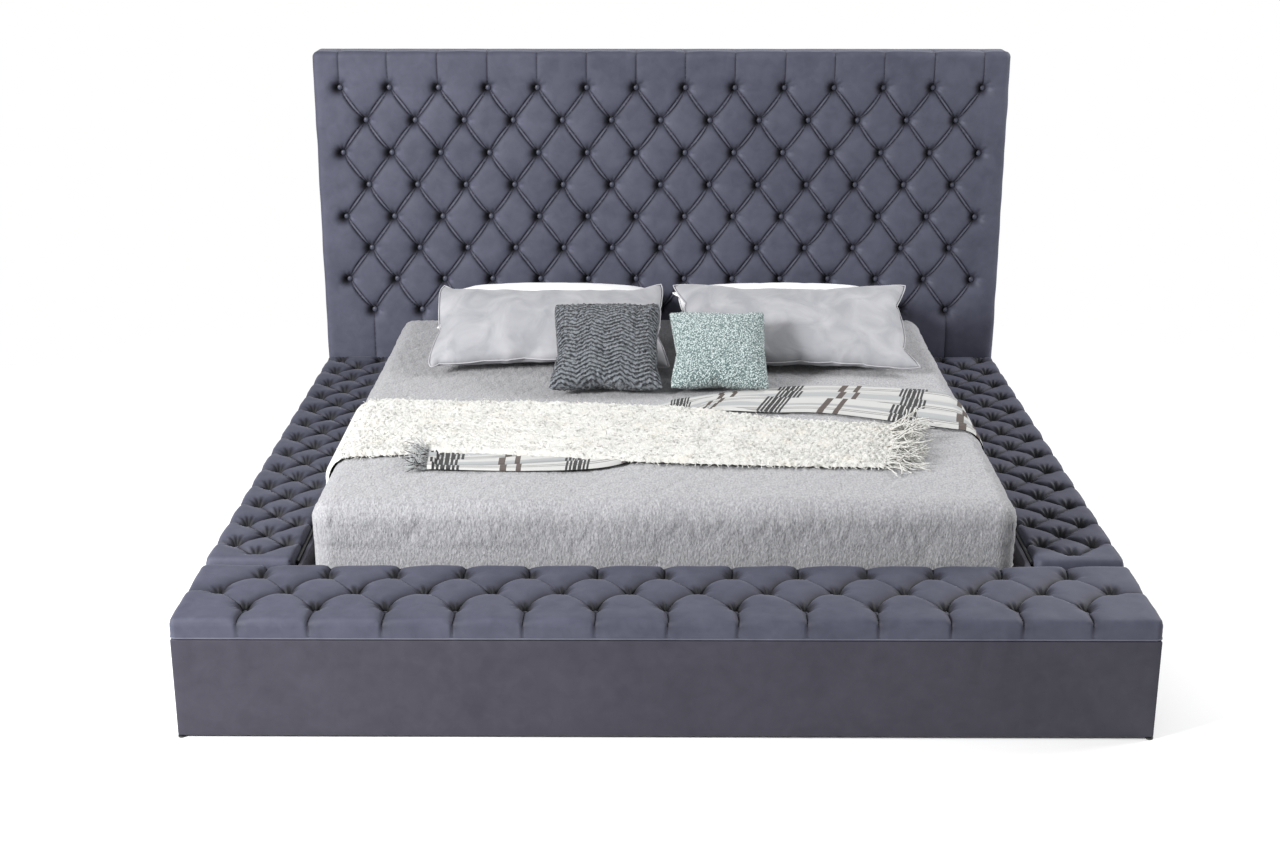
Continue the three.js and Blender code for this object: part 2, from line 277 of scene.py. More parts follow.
def quiltCotton(values=quiltValues):
    look = Look("quilt_cotton")
    at = look.cloth()
    long = look.node("ShaderNodeMapping", {}, {"Vector": at, "Scale": (1.0, 0.5, 1.0)})
    crinkle = look.noise(long, values["crinkle"], 3.0, 0.6, 0.6)
    fine = look.noise(long, values["crinkle"] * 3.2, 2.0, 0.6)
    net = look.cells(long, values["crinkle"] * 0.8)
    weave = look.noise(at, 1500.0, 1.0, 0.6)
    share = look.fade(crinkle * 0.6 + fine * 0.4, 0.36, 0.62)
    colour = look.blend(share, values["dark"], values["light"])
    normal = look.bump(crinkle + net * 0.5, 0.6, 0.0036)
    normal = look.bump(fine, 0.55, 0.0014, normal)
    normal = look.bump(weave, 0.3, 0.0004, normal)
    sheen = {"Sheen_Weight": 0.2, "Sheen_Roughness": 0.5}
    return look.finish(Base_Color=colour, Roughness=0.88, Normal=normal, **sheen)


cottonValues = {
    "white": {"light": (0.90, 0.90, 0.90), "dark": (0.82, 0.82, 0.83)},
    "grey": {"light": (0.335, 0.335, 0.352), "dark": (0.235, 0.238, 0.255)},
    "piping": {"light": (0.40, 0.40, 0.42), "dark": (0.33, 0.33, 0.35)},
}


def smoothCotton(name):
    values = cottonValues[name]
    look = Look(name + "_cotton")
    at = look.place()
    weave = look.noise(at, 1600.0, 1.0, 0.5)
    crease = look.noise(look.place((1.0, 1.0, 0.6)), 9.0, 3.0, 0.5, 0.8)
    colour = look.blend(look.fade(crease, 0.35, 0.7), values["dark"], values["light"])
    normal = look.bump(crease, 0.45, 0.016)
    normal = look.bump(weave, 0.25, 0.0003, normal)
    sheen = {"Sheen_Weight": 0.15, "Sheen_Roughness": 0.5}
    return look.finish(Base_Color=colour, Roughness=0.72, Normal=normal, **sheen)


woolValues = {
    "light": (0.645, 0.645, 0.625), "dark": (0.37, 0.355, 0.31), "warm": (0.595, 0.565, 0.50), "curl": 210.0,
}


def chunkyWool(values=woolValues):
    look = Look("white_wool")
    at = look.place()
    curl = look.noise(at, values["curl"], 3.0, 0.7, 1.6)
    patch = look.noise(at, 16.0, 3.0, 0.55)
    colour = look.blend(look.fade(curl, 0.28, 0.58), values["dark"], values["light"])
    colour = look.blend(look.fade(patch, 0.5, 0.85), colour, values["warm"])
    normal = look.bump(curl, 0.9, 0.004)
    sheen = {"Sheen_Weight": 0.35, "Sheen_Roughness": 0.5}
    return look.finish(Base_Color=colour, Roughness=0.95, Normal=normal, **sheen)


slateValues = {  # leg and pitch are the length and the spacing of its zigzag cords
    "light": (0.165, 0.18, 0.20), "dark": (0.006, 0.008, 0.011),
    "leg": 0.048, "pitch": 0.0155, "stray": 0.020,
}


def knitSlate(values=slateValues):
    look = Look("slate_knit")
    at = look.place()
    strand = look.noise(at, 330.0, 3.0, 0.75, 0.8)
    fleck = look.noise(at, 90.0, 3.0, 0.7)
    flat = look.cloth()
    zig = ((look.axis(flat, 0) / (2 * values["leg"])).fraction() * 2 - 1).absolute() * (values["leg"] * 0.5)
    stray = look.noise(at, 60.0, 2.0, 0.6) * values["stray"]
    cord = ((look.axis(flat, 1) + zig + stray) / values["pitch"] * math.pi).sine().absolute()
    # painted shade in the gaps between the cords, where cord is low
    share = look.fade(strand * 0.42 + fleck * 0.34 + cord * 0.24, 0.45, 0.62)
    colour = look.blend(share, values["dark"], values["light"])
    normal = look.bump(strand, 0.9, 0.003)
    sheen = {"Sheen_Weight": 0.2, "Sheen_Roughness": 0.5}
    return look.finish(Base_Color=colour, Roughness=0.92, Normal=normal, **sheen)


mintValues = {"light": (0.56, 0.64, 0.635), "dark": (0.10, 0.145, 0.145), "loops": 190.0}


def knitMint(values=mintValues):
    look = Look("mint_knit")
    at = look.place()
    loop = look.cells(at, values["loops"])
    strand = look.noise(at, 420.0, 2.0, 0.7)
    share = look.fade(loop * 0.8 + strand * 0.4, 0.38, 0.68, (1, 0))
    colour = look.blend(share, values["dark"], values["light"])
    normal = look.bump(1.0 - loop + strand * 0.4, 0.9, 0.004)
    sheen = {"Sheen_Weight": 0.3, "Sheen_Roughness": 0.5}
    return look.finish(Base_Color=colour, Roughness=0.95, Normal=normal, **sheen)


stripeValues = {  # the striped throw: middles and half widths of its lines, in metres on the cloth
    "repeat": 0.41,
    "black": (
        (0.018, 0.004), (0.031, 0.004), (0.046, 0.0065), (0.063, 0.0065), (0.078, 0.004), (0.091, 0.004),
    ),
    "brown": ((0.225, 0.010), (0.272, 0.008)),
    "lane": 0.135,
    "thin": ((0.030, 0.0022), (0.042, 0.0022)),
    "tint": ((0.085, 0.022),),
    "ground": (0.43, 0.43, 0.42),
    "shade": (0.25, 0.265, 0.275),
    "colours": {
        "thin": (0.055, 0.055, 0.060), "brown": (0.050, 0.033, 0.026), "black": (0.006, 0.006, 0.007),
        # fold is the painted shadow colour just behind each fold
        "fold": (0.045, 0.045, 0.05),
    },
}


def stripedWool(values=stripeValues):
    look = Look("striped_wool")
    at = look.cloth()
    place = (look.axis(at, 0) / values["repeat"]).fraction() * values["repeat"]
    lane = (look.axis(at, 1) / values["lane"]).fraction() * values["lane"]
    weave = look.noise(at, 1100.0, 1.0, 0.6)
    colours = values["colours"]

    def band(where, lines):
        mask = 0.0
        for middle, half in lines:
            line = 1.0 - (where - middle).absolute().over(half)
            mask = line.most(mask)
        return mask

    colour = look.blend(band(lane, values["tint"]) * 0.7, values["ground"], values["shade"])
    colour = look.blend(band(lane, values["thin"]) * 0.8, colour, colours["thin"])
    colour = look.blend(band(place, values["brown"]) * 0.96, colour, colours["brown"])
    colour = look.blend(band(place, values["black"]) * 0.99, colour, colours["black"])
    # painted shadow just behind each fold, where the next fold begins
    colour = look.blend(look.pull(), colour, colours["fold"])
    normal = look.bump(weave, 0.5, 0.0008)
    return look.finish(Base_Color=colour, Roughness=0.9, Normal=normal, Sheen_Weight=0.06)


def floorPaint():
    look = Look("floor_paint")
    grain = look.noise(look.place(), 3.0, 2.0)
    colour = look.blend(grain, (0.90, 0.90, 0.90), (0.92, 0.92, 0.92))
    at = look.node("ShaderNodeTexCoord", output=3)
    away = look.node("ShaderNodeVectorMath", {"operation": "LENGTH"}, {0: at}, output=1)
    alpha = look.fade(away / 6.0, 0.30, 0.58, (1, 0))  # the floor thins out into the backdrop
    return look.finish(Base_Color=colour, Roughness=0.9, Specular_IOR_Level=0.1, Alpha=alpha)


weltVelvet = {**velvetValues, "light": (0.10, 0.104, 0.135), "dark": (0.07, 0.073, 0.10)}
# the panels' velvet is the same cloth with painted shade: darker, as the upright faces take less light
shadedPanelVelvet = {**velvetValues, "light": (0.0385, 0.037, 0.051), "dark": (0.028, 0.0267, 0.0385)}
# the buttons' velvet is a little darker than the rest: painted shade, as they sit deep in the pits
shadedButtonVelvet = {**velvetValues, "light": (0.05, 0.052, 0.075), "roughness": 0.45}

velvetLook = velvet()
weltLook = velvet("welt", weltVelvet)
shadedPanelLook = velvet("panel_velvet", shadedPanelVelvet)
shadedButtonLook = velvet("button_velvet_painted_shade", shadedButtonVelvet)
liningLook = boxLining()
steelLook = hingeSteel()
plasticLook = glidePlastic()
tickingLook = mattressTicking()
quiltLook = quiltCotton()
whiteLook, greyLook, pipingLook = (smoothCotton(name) for name in cottonValues)
woolLook = chunkyWool()
stripedLook = stripedWool()
slateLook = knitSlate()
mintLook = knitMint()
print("materials made")


def storeCloth(mesh, cloth):
    layer = mesh.attributes.new("cloth", "FLOAT_VECTOR", "POINT")
    flat = np.zeros((len(cloth), 3), np.float32)
    flat[:, :2] = cloth
    layer.data.foreach_set("vector", flat.ravel())


def meshPiece(name, points, faces, look, body="bed", cloth=None, pull=None):
    mesh = bpy.data.meshes.new(name)
    mesh.from_pydata(np.asarray(points, float).tolist(), [], [list(map(int, f)) for f in faces])
    mesh.materials.append(look)
    mesh.shade_smooth()
    if cloth is not None:
        storeCloth(mesh, cloth)
    if pull is not None:
        layer = mesh.attributes.new("pull", "FLOAT", "POINT")
        layer.data.foreach_set("value", np.asarray(pull, np.float32))
    piece = bpy.data.objects.new(name, mesh)
    bpy.context.scene.collection.objects.link(piece)
    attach(piece, body)
    return piece


def gridFaces(rows, columns, start=0):  # rows x columns of points, the column index runs fastest
    index = np.arange(rows * columns).reshape(rows, columns) + start
    return np.stack([index[:-1, :-1], index[1:, :-1], index[1:, 1:], index[:-1, 1:]], -1).reshape(-1, 4)


def slabPlace(flat, size, radius, ends):
    # puts flat-cloth places onto a slab with rounded edges: points and outward directions
    half = np.array(size) / 2
    low = np.where([ends[0], ends[2]], radius - half, -half)
    high = np.where([ends[1], ends[3]], half - radius, half)
    core = np.clip(flat, low, high)
    tilt = (flat - core) / radius
    a, b = np.sin(tilt).T
    up = np.cos(tilt).prod(1)
    out = np.column_stack([a * np.sqrt(1 - b * b / 2), b * np.sqrt(1 - a * a / 2), up])
    return np.column_stack([core + radius * out[:, :2], radius * (up - 1)]), out


def flatLimits(size, radius, ends):  # how far the flat cloth reaches, round its rounded edges
    grow = radius * (math.pi / 2 - 1)
    half = np.array(size) / 2
    low = -half - grow * np.array([ends[0], ends[2]])
    high = half + grow * np.array([ends[1], ends[3]])
    return low, high


def softCover(flat, faces, size, radius, drop, dropStep, lip=0.0, ends=(True, True, True, True)):
    # A cover over a slab whose top is at z 0; its sides reach down by drop and turn under by lip.
    # Gives points, outward directions, flat-cloth places, faces and how far down each point is.
    low, high = flatLimits(size, radius, ends)
    near = 1e-6
    u, v = flat.T
    left = np.flatnonzero(u < low[0] + near)
    foot = np.flatnonzero((v < low[1] + near) & (u > low[0] + near))
    right = np.flatnonzero((u > high[0] - near) & (v > low[1] + near))
    head = np.flatnonzero((v > high[1] - near) & (u > low[0] + near) & (u < high[0] - near))
    sides = [(left[np.argsort(-v[left])], (-1, 0)), (foot[np.argsort(u[foot])], (0, -1)),
             (right[np.argsort(v[right])], (1, 0))]
    closed = ends[3]
    if closed:
        sides.append((head[np.argsort(-u[head])], (0, 1)))
    top = np.concatenate([index for index, _ in sides])
    away = np.concatenate([np.tile(way, (len(index), 1)) for index, way in sides])
    points, normals = slabPlace(flat, size, radius, ends)
    out = normals[top].copy()
    out[:, 2] = 0
    out /= np.linalg.norm(out, axis=1)[:, None]
    start, last, count = points[top], top, len(points)
    downs = np.linspace(0, drop - radius, max(2, round((drop - radius) / dropStep)) + 1)[1:]
    rings = [(down, 0.0) for down in downs]
    if lip:
        rings += [(downs[-1] + 0.001, lip * 0.35), (downs[-1] + 0.001, lip)]
    made = [(points, normals, flat, np.zeros(len(flat)))]
    faces = [list(map(tuple, faces))]
    for down, inset in rings:
        ring = start - out * inset
        ring[:, 2] -= down
        direction = np.tile((0.0, 0.0, -1.0), (len(out), 1)) if inset else out
        deep = np.full(len(top), drop if inset else down)
        made.append((ring, direction, flat[top] + away * (down + inset), deep))
        index = np.arange(len(top)) + count
        quads = np.stack([last, index, np.roll(index, -1), np.roll(last, -1)], -1)
        faces.append(list(map(tuple, quads if closed else quads[:-1])))
        last, count = index, count + len(top)
    points, normals, flat, below = (np.concatenate(group) for group in zip(*made))
    return points, normals, flat, sum(faces, []), below


def plainCloth(size, radius, step, ends=(True, True, True, True)):  # an even grid of flat places
    low, high = flatLimits(size, radius, ends)
    lines = [np.linspace(low[k], high[k], round((high[k] - low[k]) / step) + 1) for k in range(2)]
    flat = np.stack(np.meshgrid(*lines, indexing="ij"), -1).reshape(-1, 2)
    return flat, gridFaces(len(lines[0]), len(lines[1]))


def pleatRun(start, end):  # a pleat's start, its run to the end, its sideways direction and its length
    start, end = np.array(start, float), np.array(end, float)
    run = end - start
    length = np.linalg.norm(run)
    side = np.array([-run[1], run[0]]) / length
    if side @ (0.001, 1.0) < 0:
        side = -side
    return start, run, side, length


def tuckWidth(strength, arch, values):  # half the width of the tuck that a strong pleat makes
    return (values["tuck"] if strength > 0.7 else 0.0) * arch ** 0.6


def tuftedCloth(size, radius, buttons, pleats, values):
    # flat places that lie close together along pleats and round buttons, and far apart between
    low, high = flatLimits(size, radius, (True, True, True, True))
    spots = []
    insets = ((0, values["rimStep"]), (0.004, 0.006), (0.009, 0.008), (0.015, 0.009), (0.022, 0.009))
    for inset, pitch in insets:  # the border, then lines beside it that follow the rounded edge
        for k in range(2):
            other = 1 - k
            run = np.linspace(low[other], high[other], round((high[other] - low[other]) / pitch) + 1)
            for edge in (low[k] + inset, high[k] - inset):
                line = np.empty((len(run), 2))
                line[:, k], line[:, other] = edge, run
                spots.append(line)
    for start, end, bow, strength in pleats:
        start, run, side, length = pleatRun(start, end)
        t = np.linspace(0, 1, max(4, round(length / values["along"])) + 1)
        arch = np.sin(math.pi * t)
        middle = start + run * t[:, None] + side * (bow * arch)[:, None]
        tuck = tuckWidth(strength, arch, values)
        rows = [(0, 0), (1, 0), (1, 0.0018), (1, 0.0045), (1, 0.009), (1, 0.016)]
        if values["tuck"]:
            rows.append((0.5, 0))
        for share, more in rows:
            for sign in (-1, 1):
                spots.append(middle + side * (sign * (share * tuck + more))[:, None])
    turn = np.arange(values["spokes"]) * math.tau / values["spokes"]
    for spot in buttons:
        for k, r in enumerate((0.004, 0.0085, 0.011, 0.014, 0.0175, 0.0215, 0.026, 0.031)):
            twist = turn + (k % 2) * math.pi / values["spokes"]
            spots.append(np.array(spot) + r * np.column_stack([np.cos(twist), np.sin(twist)]))
    step = values["step"]
    lines = [np.arange(low[k] + step / 2, high[k], step) for k in range(2)]
    spots.append(np.stack(np.meshgrid(*lines, indexing="ij"), -1).reshape(-1, 2))
    spots = np.concatenate(spots)
    rim = ((spots == low) | (spots == high)).any(1)
    clear = ((spots > low + 0.0016) & (spots < high - 0.0016)).all(1)
    spots = spots[rim | clear]
    _, first = np.unique(np.round(spots / 0.0013), axis=0, return_index=True)
    spots = spots[np.sort(first)]
    places, _, faces, *_ = delaunay_2d_cdt(spots.tolist(), [], [], 0, 1e-7, False)
    flat = np.array([tuple(place) for place in places])
    faces = np.array([tuple(face) for face in faces])
    a, b, c = (flat[faces[:, k]] for k in range(3))
    area = (b - a)[:, 0] * (c - a)[:, 1] - (b - a)[:, 1] * (c - a)[:, 0]
    faces[area < 0] = faces[area < 0][:, ::-1]
    return flat, faces


def ripple(at, wavelength, waves, seed, stretch=(1.0, 1.0)):
    # a soft random surface, about -1 to 1: a sum of seeded waves in all directions
    rng = np.random.default_rng(seed)
    total = np.zeros(len(at))
    for _ in range(waves):
        turn, phase = rng.uniform(0, math.tau, 2)
        pitch = wavelength * rng.uniform(0.6, 1.6)
        total += np.sin((at[:, 0] / stretch[0] * math.cos(turn) + at[:, 1] / stretch[1] * math.sin(turn))
                        * math.tau / pitch + phase)
    return total / math.sqrt(waves)


def tube(path, radius, sides=8, closed=False):  # a round cord along a path; radius may vary
    path = np.asarray(path, float)
    radius = np.broadcast_to(radius, len(path))
    if closed:
        ahead = np.roll(path, -1, 0) - np.roll(path, 1, 0)
    else:
        ahead = np.gradient(path, axis=0)
    ahead /= np.linalg.norm(ahead, axis=1)[:, None] + 1e-12
    guide = np.where(np.abs(ahead[:, 2:3]) > 0.9, [[1.0, 0, 0]], [[0, 0, 1.0]])
    side = np.cross(ahead, guide)
    side /= np.linalg.norm(side, axis=1)[:, None]
    up = np.cross(side, ahead)
    turn = np.arange(sides) * math.tau / sides
    ring = side[:, None] * np.cos(turn)[None, :, None] + up[:, None] * np.sin(turn)[None, :, None]
    points = path[:, None] + ring * radius[:, None, None]
    faces = []
    count = len(path)
    for i in range(count if closed else count - 1):
        for k in range(sides):
            n, m = (k + 1) % sides, (i + 1) % count
            faces.append((i * sides + k, i * sides + n, m * sides + n, m * sides + k))
    if not closed:
        faces.append(tuple(range(sides))[::-1])
        faces.append(tuple((count - 1) * sides + k for k in range(sides)))
    return points.reshape(-1, 3), faces


def joined(parts):  # several (points, faces) as one
    points, faces, count = [], [], 0
    for some, theirs in parts:
        points.append(some)
        faces += [tuple(index + count for index in face) for face in theirs]
        count += len(some)
    return np.concatenate(points), faces


def tuftDepth(at, buttons, pleats, values):
    # how far the cover is pulled in at each flat place, and how much painted shade its pile gets there, or
    # painted highlight below 0;
    # pleats are (start, end, bow, strength)
    dome = np.ones(len(at))
    pit = np.ones(len(at))
    folds = np.zeros(len(at))
    crease = np.zeros(len(at))
    dark = np.zeros(len(at))
    light = np.zeros(len(at))
    rng = np.random.default_rng(values["seed"])
    reach = 4.2 * values["gentle"]
    for start, end, bow, strength in pleats:
        low, high = np.minimum(start, end) - reach, np.maximum(start, end) + reach
        near = np.flatnonzero(((at > low) & (at < high)).all(1))
        if not len(near):
            continue
        start, run, side, length = pleatRun(start, end)
        run = run / length
        rel = at[near] - start
        t = np.clip(rel @ run / length, 0, 1)
        beyond = np.abs(rel @ run - t * length)
        arch = np.sin(math.pi * t)
        s = rel @ side - bow * arch
        wide = np.where(s * values["lean"] > 0, values["steep"], values["gentle"])
        d = np.hypot(s, beyond)
        ends = np.exp(-((beyond / 0.010) ** 2))
        pull = strength * (1 - values["slack"] * arch ** 0.8)
        dome[near] *= 1 - pull * np.exp(-((d / wide) ** 1.15)) * ends
        off = np.abs(np.abs(s) - tuckWidth(strength, arch, values))
        cutIn = values["crease"] * strength * np.exp(-off / values["thin"]) * ends
        crease[near] = np.maximum(crease[near], cutIn)
        # painted shade along each pleat, reaching further on the side set by behind
        shade = np.where(s > 0, values["behind"], values["shade"])
        dark[near] = np.maximum(dark[near], strength * np.exp(-off / shade) * ends)
        # painted highlight along the crest of a pleat
        crest = values["glint"] * strength * np.exp(-((s / values["thin"]) ** 2)) * arch ** 0.5 * ends
        light[near] = np.maximum(light[near], crest)
    for x, y in buttons:
        phase, number = rng.uniform(0, math.tau), rng.integers(8, 12)
        near = np.flatnonzero((np.abs(at - (x, y)) < values["spread"]).all(1))
        dx, dy = at[near, 0] - x, at[near, 1] - y
        r = np.hypot(dx, dy)
        pit[near] *= 1 - np.exp(-((r / values["pitRadius"]) ** values["pitShape"]))
        ring = np.exp(-(((r - values["foldRing"]) / (0.5 * values["foldRing"])) ** 2))
        fan = 0.55 + 0.45 * dy / (r + 1e-6)
        folds[near] += ring * fan * np.sin(number * np.arctan2(dy, dx) + phase)
        # painted shade in each pit, set to one side of the button as a cast shadow
        away = np.hypot(dx + values["holeAside"], dy - values["shadeShift"])
        dark[near] = np.maximum(dark[near], np.exp(-((away / values["shadeRadius"]) ** 3)))
        # painted highlight on the pit's other side
        lit = np.hypot(dx - 1.9 * values["holeAside"], dy + values["holeAside"] / 2) / values["litRadius"]
        light[near] = np.maximum(light[near], 0.8 * values["glint"] * np.exp(-(lit ** 2)))
    depth = values["pit"] * (1 - pit) + values["dome"] * (1 - dome) + crease * (0.25 + 0.75 * pit)
    # painted shade in the valleys of the fan folds; the painted highlight then goes below 0
    dark = np.maximum(dark, 0.35 * np.clip(folds, 0, 1))
    dark = dark - light * np.clip(1 - 2 * dark, 0, 1)
    return depth + values["fold"] * folds, dark


def lattice(columns, reachX, reachY):  # pleats between buttons of neighbouring lines
    pleats = []
    for one, two in zip(columns, columns[1:]):
        for a in one:
            for b in two:
                if abs(a[0] - b[0]) < reachX and abs(a[1] - b[1]) < reachY:
                    pleats.append((a, b))
    return pleats


def domes(places, normal, radius, height, segments=14, rings=4):  # covered buttons
    normal = Vector(normal).normalized()
    side = normal.orthogonal().normalized()
    other = normal.cross(side)
    parts = []
    for centre in places:
        points = []
        for k in range(rings + 1):
            lift = math.pi / 2 * k / rings
            for m in range(segments):
                turn = math.tau * m / segments
                spread = side * math.cos(turn) + other * math.sin(turn)
                points.append(Vector(centre) + spread * radius * math.cos(lift * 0.985)
                              + normal * height * math.sin(lift))
        points.append(Vector(centre) + normal * height)
        tip = len(points) - 1
        faces = []
        for k in range(rings):
            for m in range(segments):
                n = (m + 1) % segments
                low, high = k * segments, (k + 1) * segments
                faces.append((low + m, low + n, high + n, high + m))
        for m in range(segments):
            faces.append((rings * segments + m, rings * segments + (m + 1) % segments, tip))
        faces.append(tuple(range(segments))[::-1])
        parts.append((np.array([tuple(p) for p in points]), faces))
    return joined(parts)


def strung(pairs, bow, wander, strength, seed):  # pleats with a bow and a little wander
    rng = np.random.default_rng(seed)
    return [(a, b, bow + rng.normal(0, wander), strength * rng.uniform(0.9, 1.0)) for a, b in pairs]


headboardValues = {
    "rows": 8,
    "inRow": (14, 13),
    "topRow": 1.35,
    "rowPitch": 0.12,
    "pitch": 0.1813,
    "radius": 0.020,
    "button": 0.0105,
    "buttonHeight": 0.0055,
    "tuft": {
        "seed": 3, "pit": 0.032, "dome": 0.013, "pitRadius": 0.0215, "pitShape": 1.45,
        "steep": 0.015, "gentle": 0.021, "lean": 1, "slack": 0.35, "fold": 0.0016,
        "foldRing": 0.026, "tuck": 0.0060, "crease": 0.0062, "thin": 0.0017,
        # shade, behind, glint, litRadius and the pit values after them set the painted shade and painted
        # highlight
        "shade": 0.0030, "behind": 0.0022, "glint": 0.7, "litRadius": 0.012,
        "shadeRadius": 0.0230, "holeAside": 0.009, "shadeShift": 0.0, "spread": 0.15,
        "step": 0.011, "along": 0.007, "spokes": 36, "rimStep": 0.004,
    },
}


def headboard(values=headboardValues):
    low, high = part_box("headboard_pad")
    width, height = high.x - low.x, high.z - low.z
    middle = (low.z + high.z) / 2
    rows = []
    for k in range(values["rows"]):
        count = values["inRow"][k % 2]
        z = values["topRow"] - k * values["rowPitch"] - middle
        rows.append([((i - (count - 1) / 2) * values["pitch"], z) for i in range(count)])
    buttons = [spot for row in rows for spot in row]
    cross = strung(lattice(rows, values["pitch"] * 0.75, 1), 0.0, 0.0026, 1.0, 5)
    edges = [((x, y), (x, height / 2 + 0.09)) for x, y in rows[0]]
    edges += [((x, y), (x, -height / 2 - 0.03)) for x, y in rows[-1]]
    pleats = cross + strung(edges, 0.0, 0.0012, 0.55, 6)
    tuft = values["tuft"]

    def depthAt(flat):
        depth, dark = tuftDepth(flat, buttons, pleats, tuft)
        return depth + 0.0008 * ripple(flat, 0.11, 7, 8) - 0.002, dark

    size = (width, height)
    flat, faces = tuftedCloth(size, values["radius"], buttons, pleats, tuft)
    cover = softCover(flat, faces, size, values["radius"], high.y - low.y, 0.012, lip=0.012)
    points, normals, flat, faces, below = cover
    depth, dark = depthAt(flat)
    fade = np.clip(1 - below / 0.09, 0, 1)
    points = points - normals * (depth * (0.35 + 0.65 * fade) * np.where(below > 0, 0.6, 1.0))[:, None]

    def place(p):
        p = np.asarray(p)
        return np.stack([p[:, 0], low.y - p[:, 2], middle + p[:, 1]], -1)

    # the pile gets painted shade and painted highlight, less of it down the sides
    pad = meshPiece("headboard_cover", place(points), faces, velvetLook, pull=dark * fade)
    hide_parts("headboard_pad")

    spots = np.array(buttons)
    z = -depthAt(spots + (values["button"], 0))[0] - 0.001
    centres = place(np.column_stack([spots, z]))
    points, faces = domes(centres, (0, -1, 0), values["button"], values["buttonHeight"])
    meshPiece("headboard_buttons", points, faces, shadedButtonLook)


headboard()
print("headboard made")


lidTuft = {
    "seed": 11, "pit": 0.020, "dome": 0.015, "pitRadius": 0.0180, "pitShape": 1.35,
    "steep": 0.008, "gentle": 0.024, "lean": 1, "slack": 0.15, "fold": 0.0027,
    "foldRing": 0.027, "tuck": 0.0, "crease": 0.0070, "thin": 0.0024,
    # shade, behind, glint, litRadius and the pit values after them set the painted shade and painted
    # highlight
    "shade": 0.0050, "behind": 0.0070, "glint": 0.0, "litRadius": 0.012,
    "shadeRadius": 0.0280, "holeAside": 0.0, "shadeShift": 0.004, "spread": 0.15,
    "step": 0.010, "along": 0.006, "spokes": 36, "rimStep": 0.004,
}
# on the bench the painted shade reaches further behind each pleat and pit
benchTuft = {**lidTuft, "lean": -1, "shade": 0.0030, "behind": 0.0150, "shadeShift": 0.012}
lidValues = {"radius": 0.019, "button": 0.009, "buttonHeight": 0.005, "crest": 0.003, "lip": 0.0072}
benchLidValues = {"pitch": 0.182, "rows": ((13, 0.096), (14, 0.197), (13, 0.300)), "bow": (0.016, -0.004)}
sideLidValues = {
    "columns": ((1.2125, 0.0775), (1.140, 0.0), (1.067, 0.0775)),
    "first": 0.470, "pitch": 0.155, "bow": -0.013,
}


def tuftedLid(name, buttons, pleats, tuft, values=lidValues):
    low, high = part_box(f"{name}_lid_pad")
    size = (high.x - low.x, high.y - low.y)
    middle = ((low.x + high.x) / 2, (low.y + high.y) / 2)

    def depthAt(flat):
        depth, dark = tuftDepth(flat, buttons, pleats, tuft)
        return depth + 0.0006 * ripple(flat, 0.09, 7, tuft["seed"]) - values["crest"], dark

    flat, faces = tuftedCloth(size, values["radius"], buttons, pleats, tuft)
    cover = softCover(flat, faces, size, values["radius"], high.z - low.z, 0.006, lip=values["lip"])
    points, normals, flat, faces, below = cover
    depth, dark = depthAt(flat)
    hold = np.where(below > 0, np.clip(1 - below / (high.z - low.z), 0.0, 1) * 0.55, 1.0)
    slope = normals[:, 2]
    hold = hold * np.where(below > 0, 1.0, 0.55 + 0.45 * slope)
    depth = np.where((below > 0) | (slope < 0.6), np.maximum(depth, 0.0004), depth)
    points = points - normals * (depth * hold)[:, None]
    points[:, :2] += middle
    points[:, 2] += high.z
    body = f"{name}_lid"
    fade = np.clip(1 - below / 0.03, 0.25, 1)
    # the pile gets painted shade, less of it down the sides
    pad = meshPiece(f"{name}_lid_cover", points, faces, velvetLook, body, pull=dark * fade)
    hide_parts(f"{name}_lid_pad")

    spots = np.array(buttons)
    z = high.z - depthAt(spots + (values["button"], 0))[0] - 0.001
    centres = np.column_stack([spots + middle, z])
    points, faces = domes(centres, (0, 0, 1), values["button"], values["buttonHeight"])
    meshPiece(f"{name}_lid_buttons", points, faces, shadedButtonLook, body)


def benchLid(values=benchLidValues):
    low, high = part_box("bench_lid_pad")
    middle = (low.y + high.y) / 2
    rows = []
    for count, along in values["rows"]:
        y = benchFront + along - middle
        rows.append([((i - (count - 1) / 2) * values["pitch"], y) for i in range(count)])
    buttons = [spot for row in rows for spot in row]
    pairs = lattice(rows, values["pitch"] * 0.75, 1)  # those leaning right are deep and bowed back
    cross = strung([pair for pair in pairs if pair[1][0] > pair[0][0]], values["bow"][0], 0.002, 1.0, 21)
    cross += strung([pair for pair in pairs if pair[1][0] < pair[0][0]], values["bow"][1], 0.003, 0.36, 23)
    far = (high.y - low.y) / 2 + 0.06
    edges = [((x, y), (x, -far)) for x, y in rows[0]] + [((x, y), (x, far)) for x, y in rows[-1]]
    wide = (high.x - low.x) / 2 + 0.05
    ends = [((x, y), (math.copysign(wide, x), y)) for x, y in (rows[1][0], rows[1][-1])]
    tuftedLid("bench", buttons, cross + strung(edges + ends, 0.0, 0.003, 0.75, 22), benchTuft)


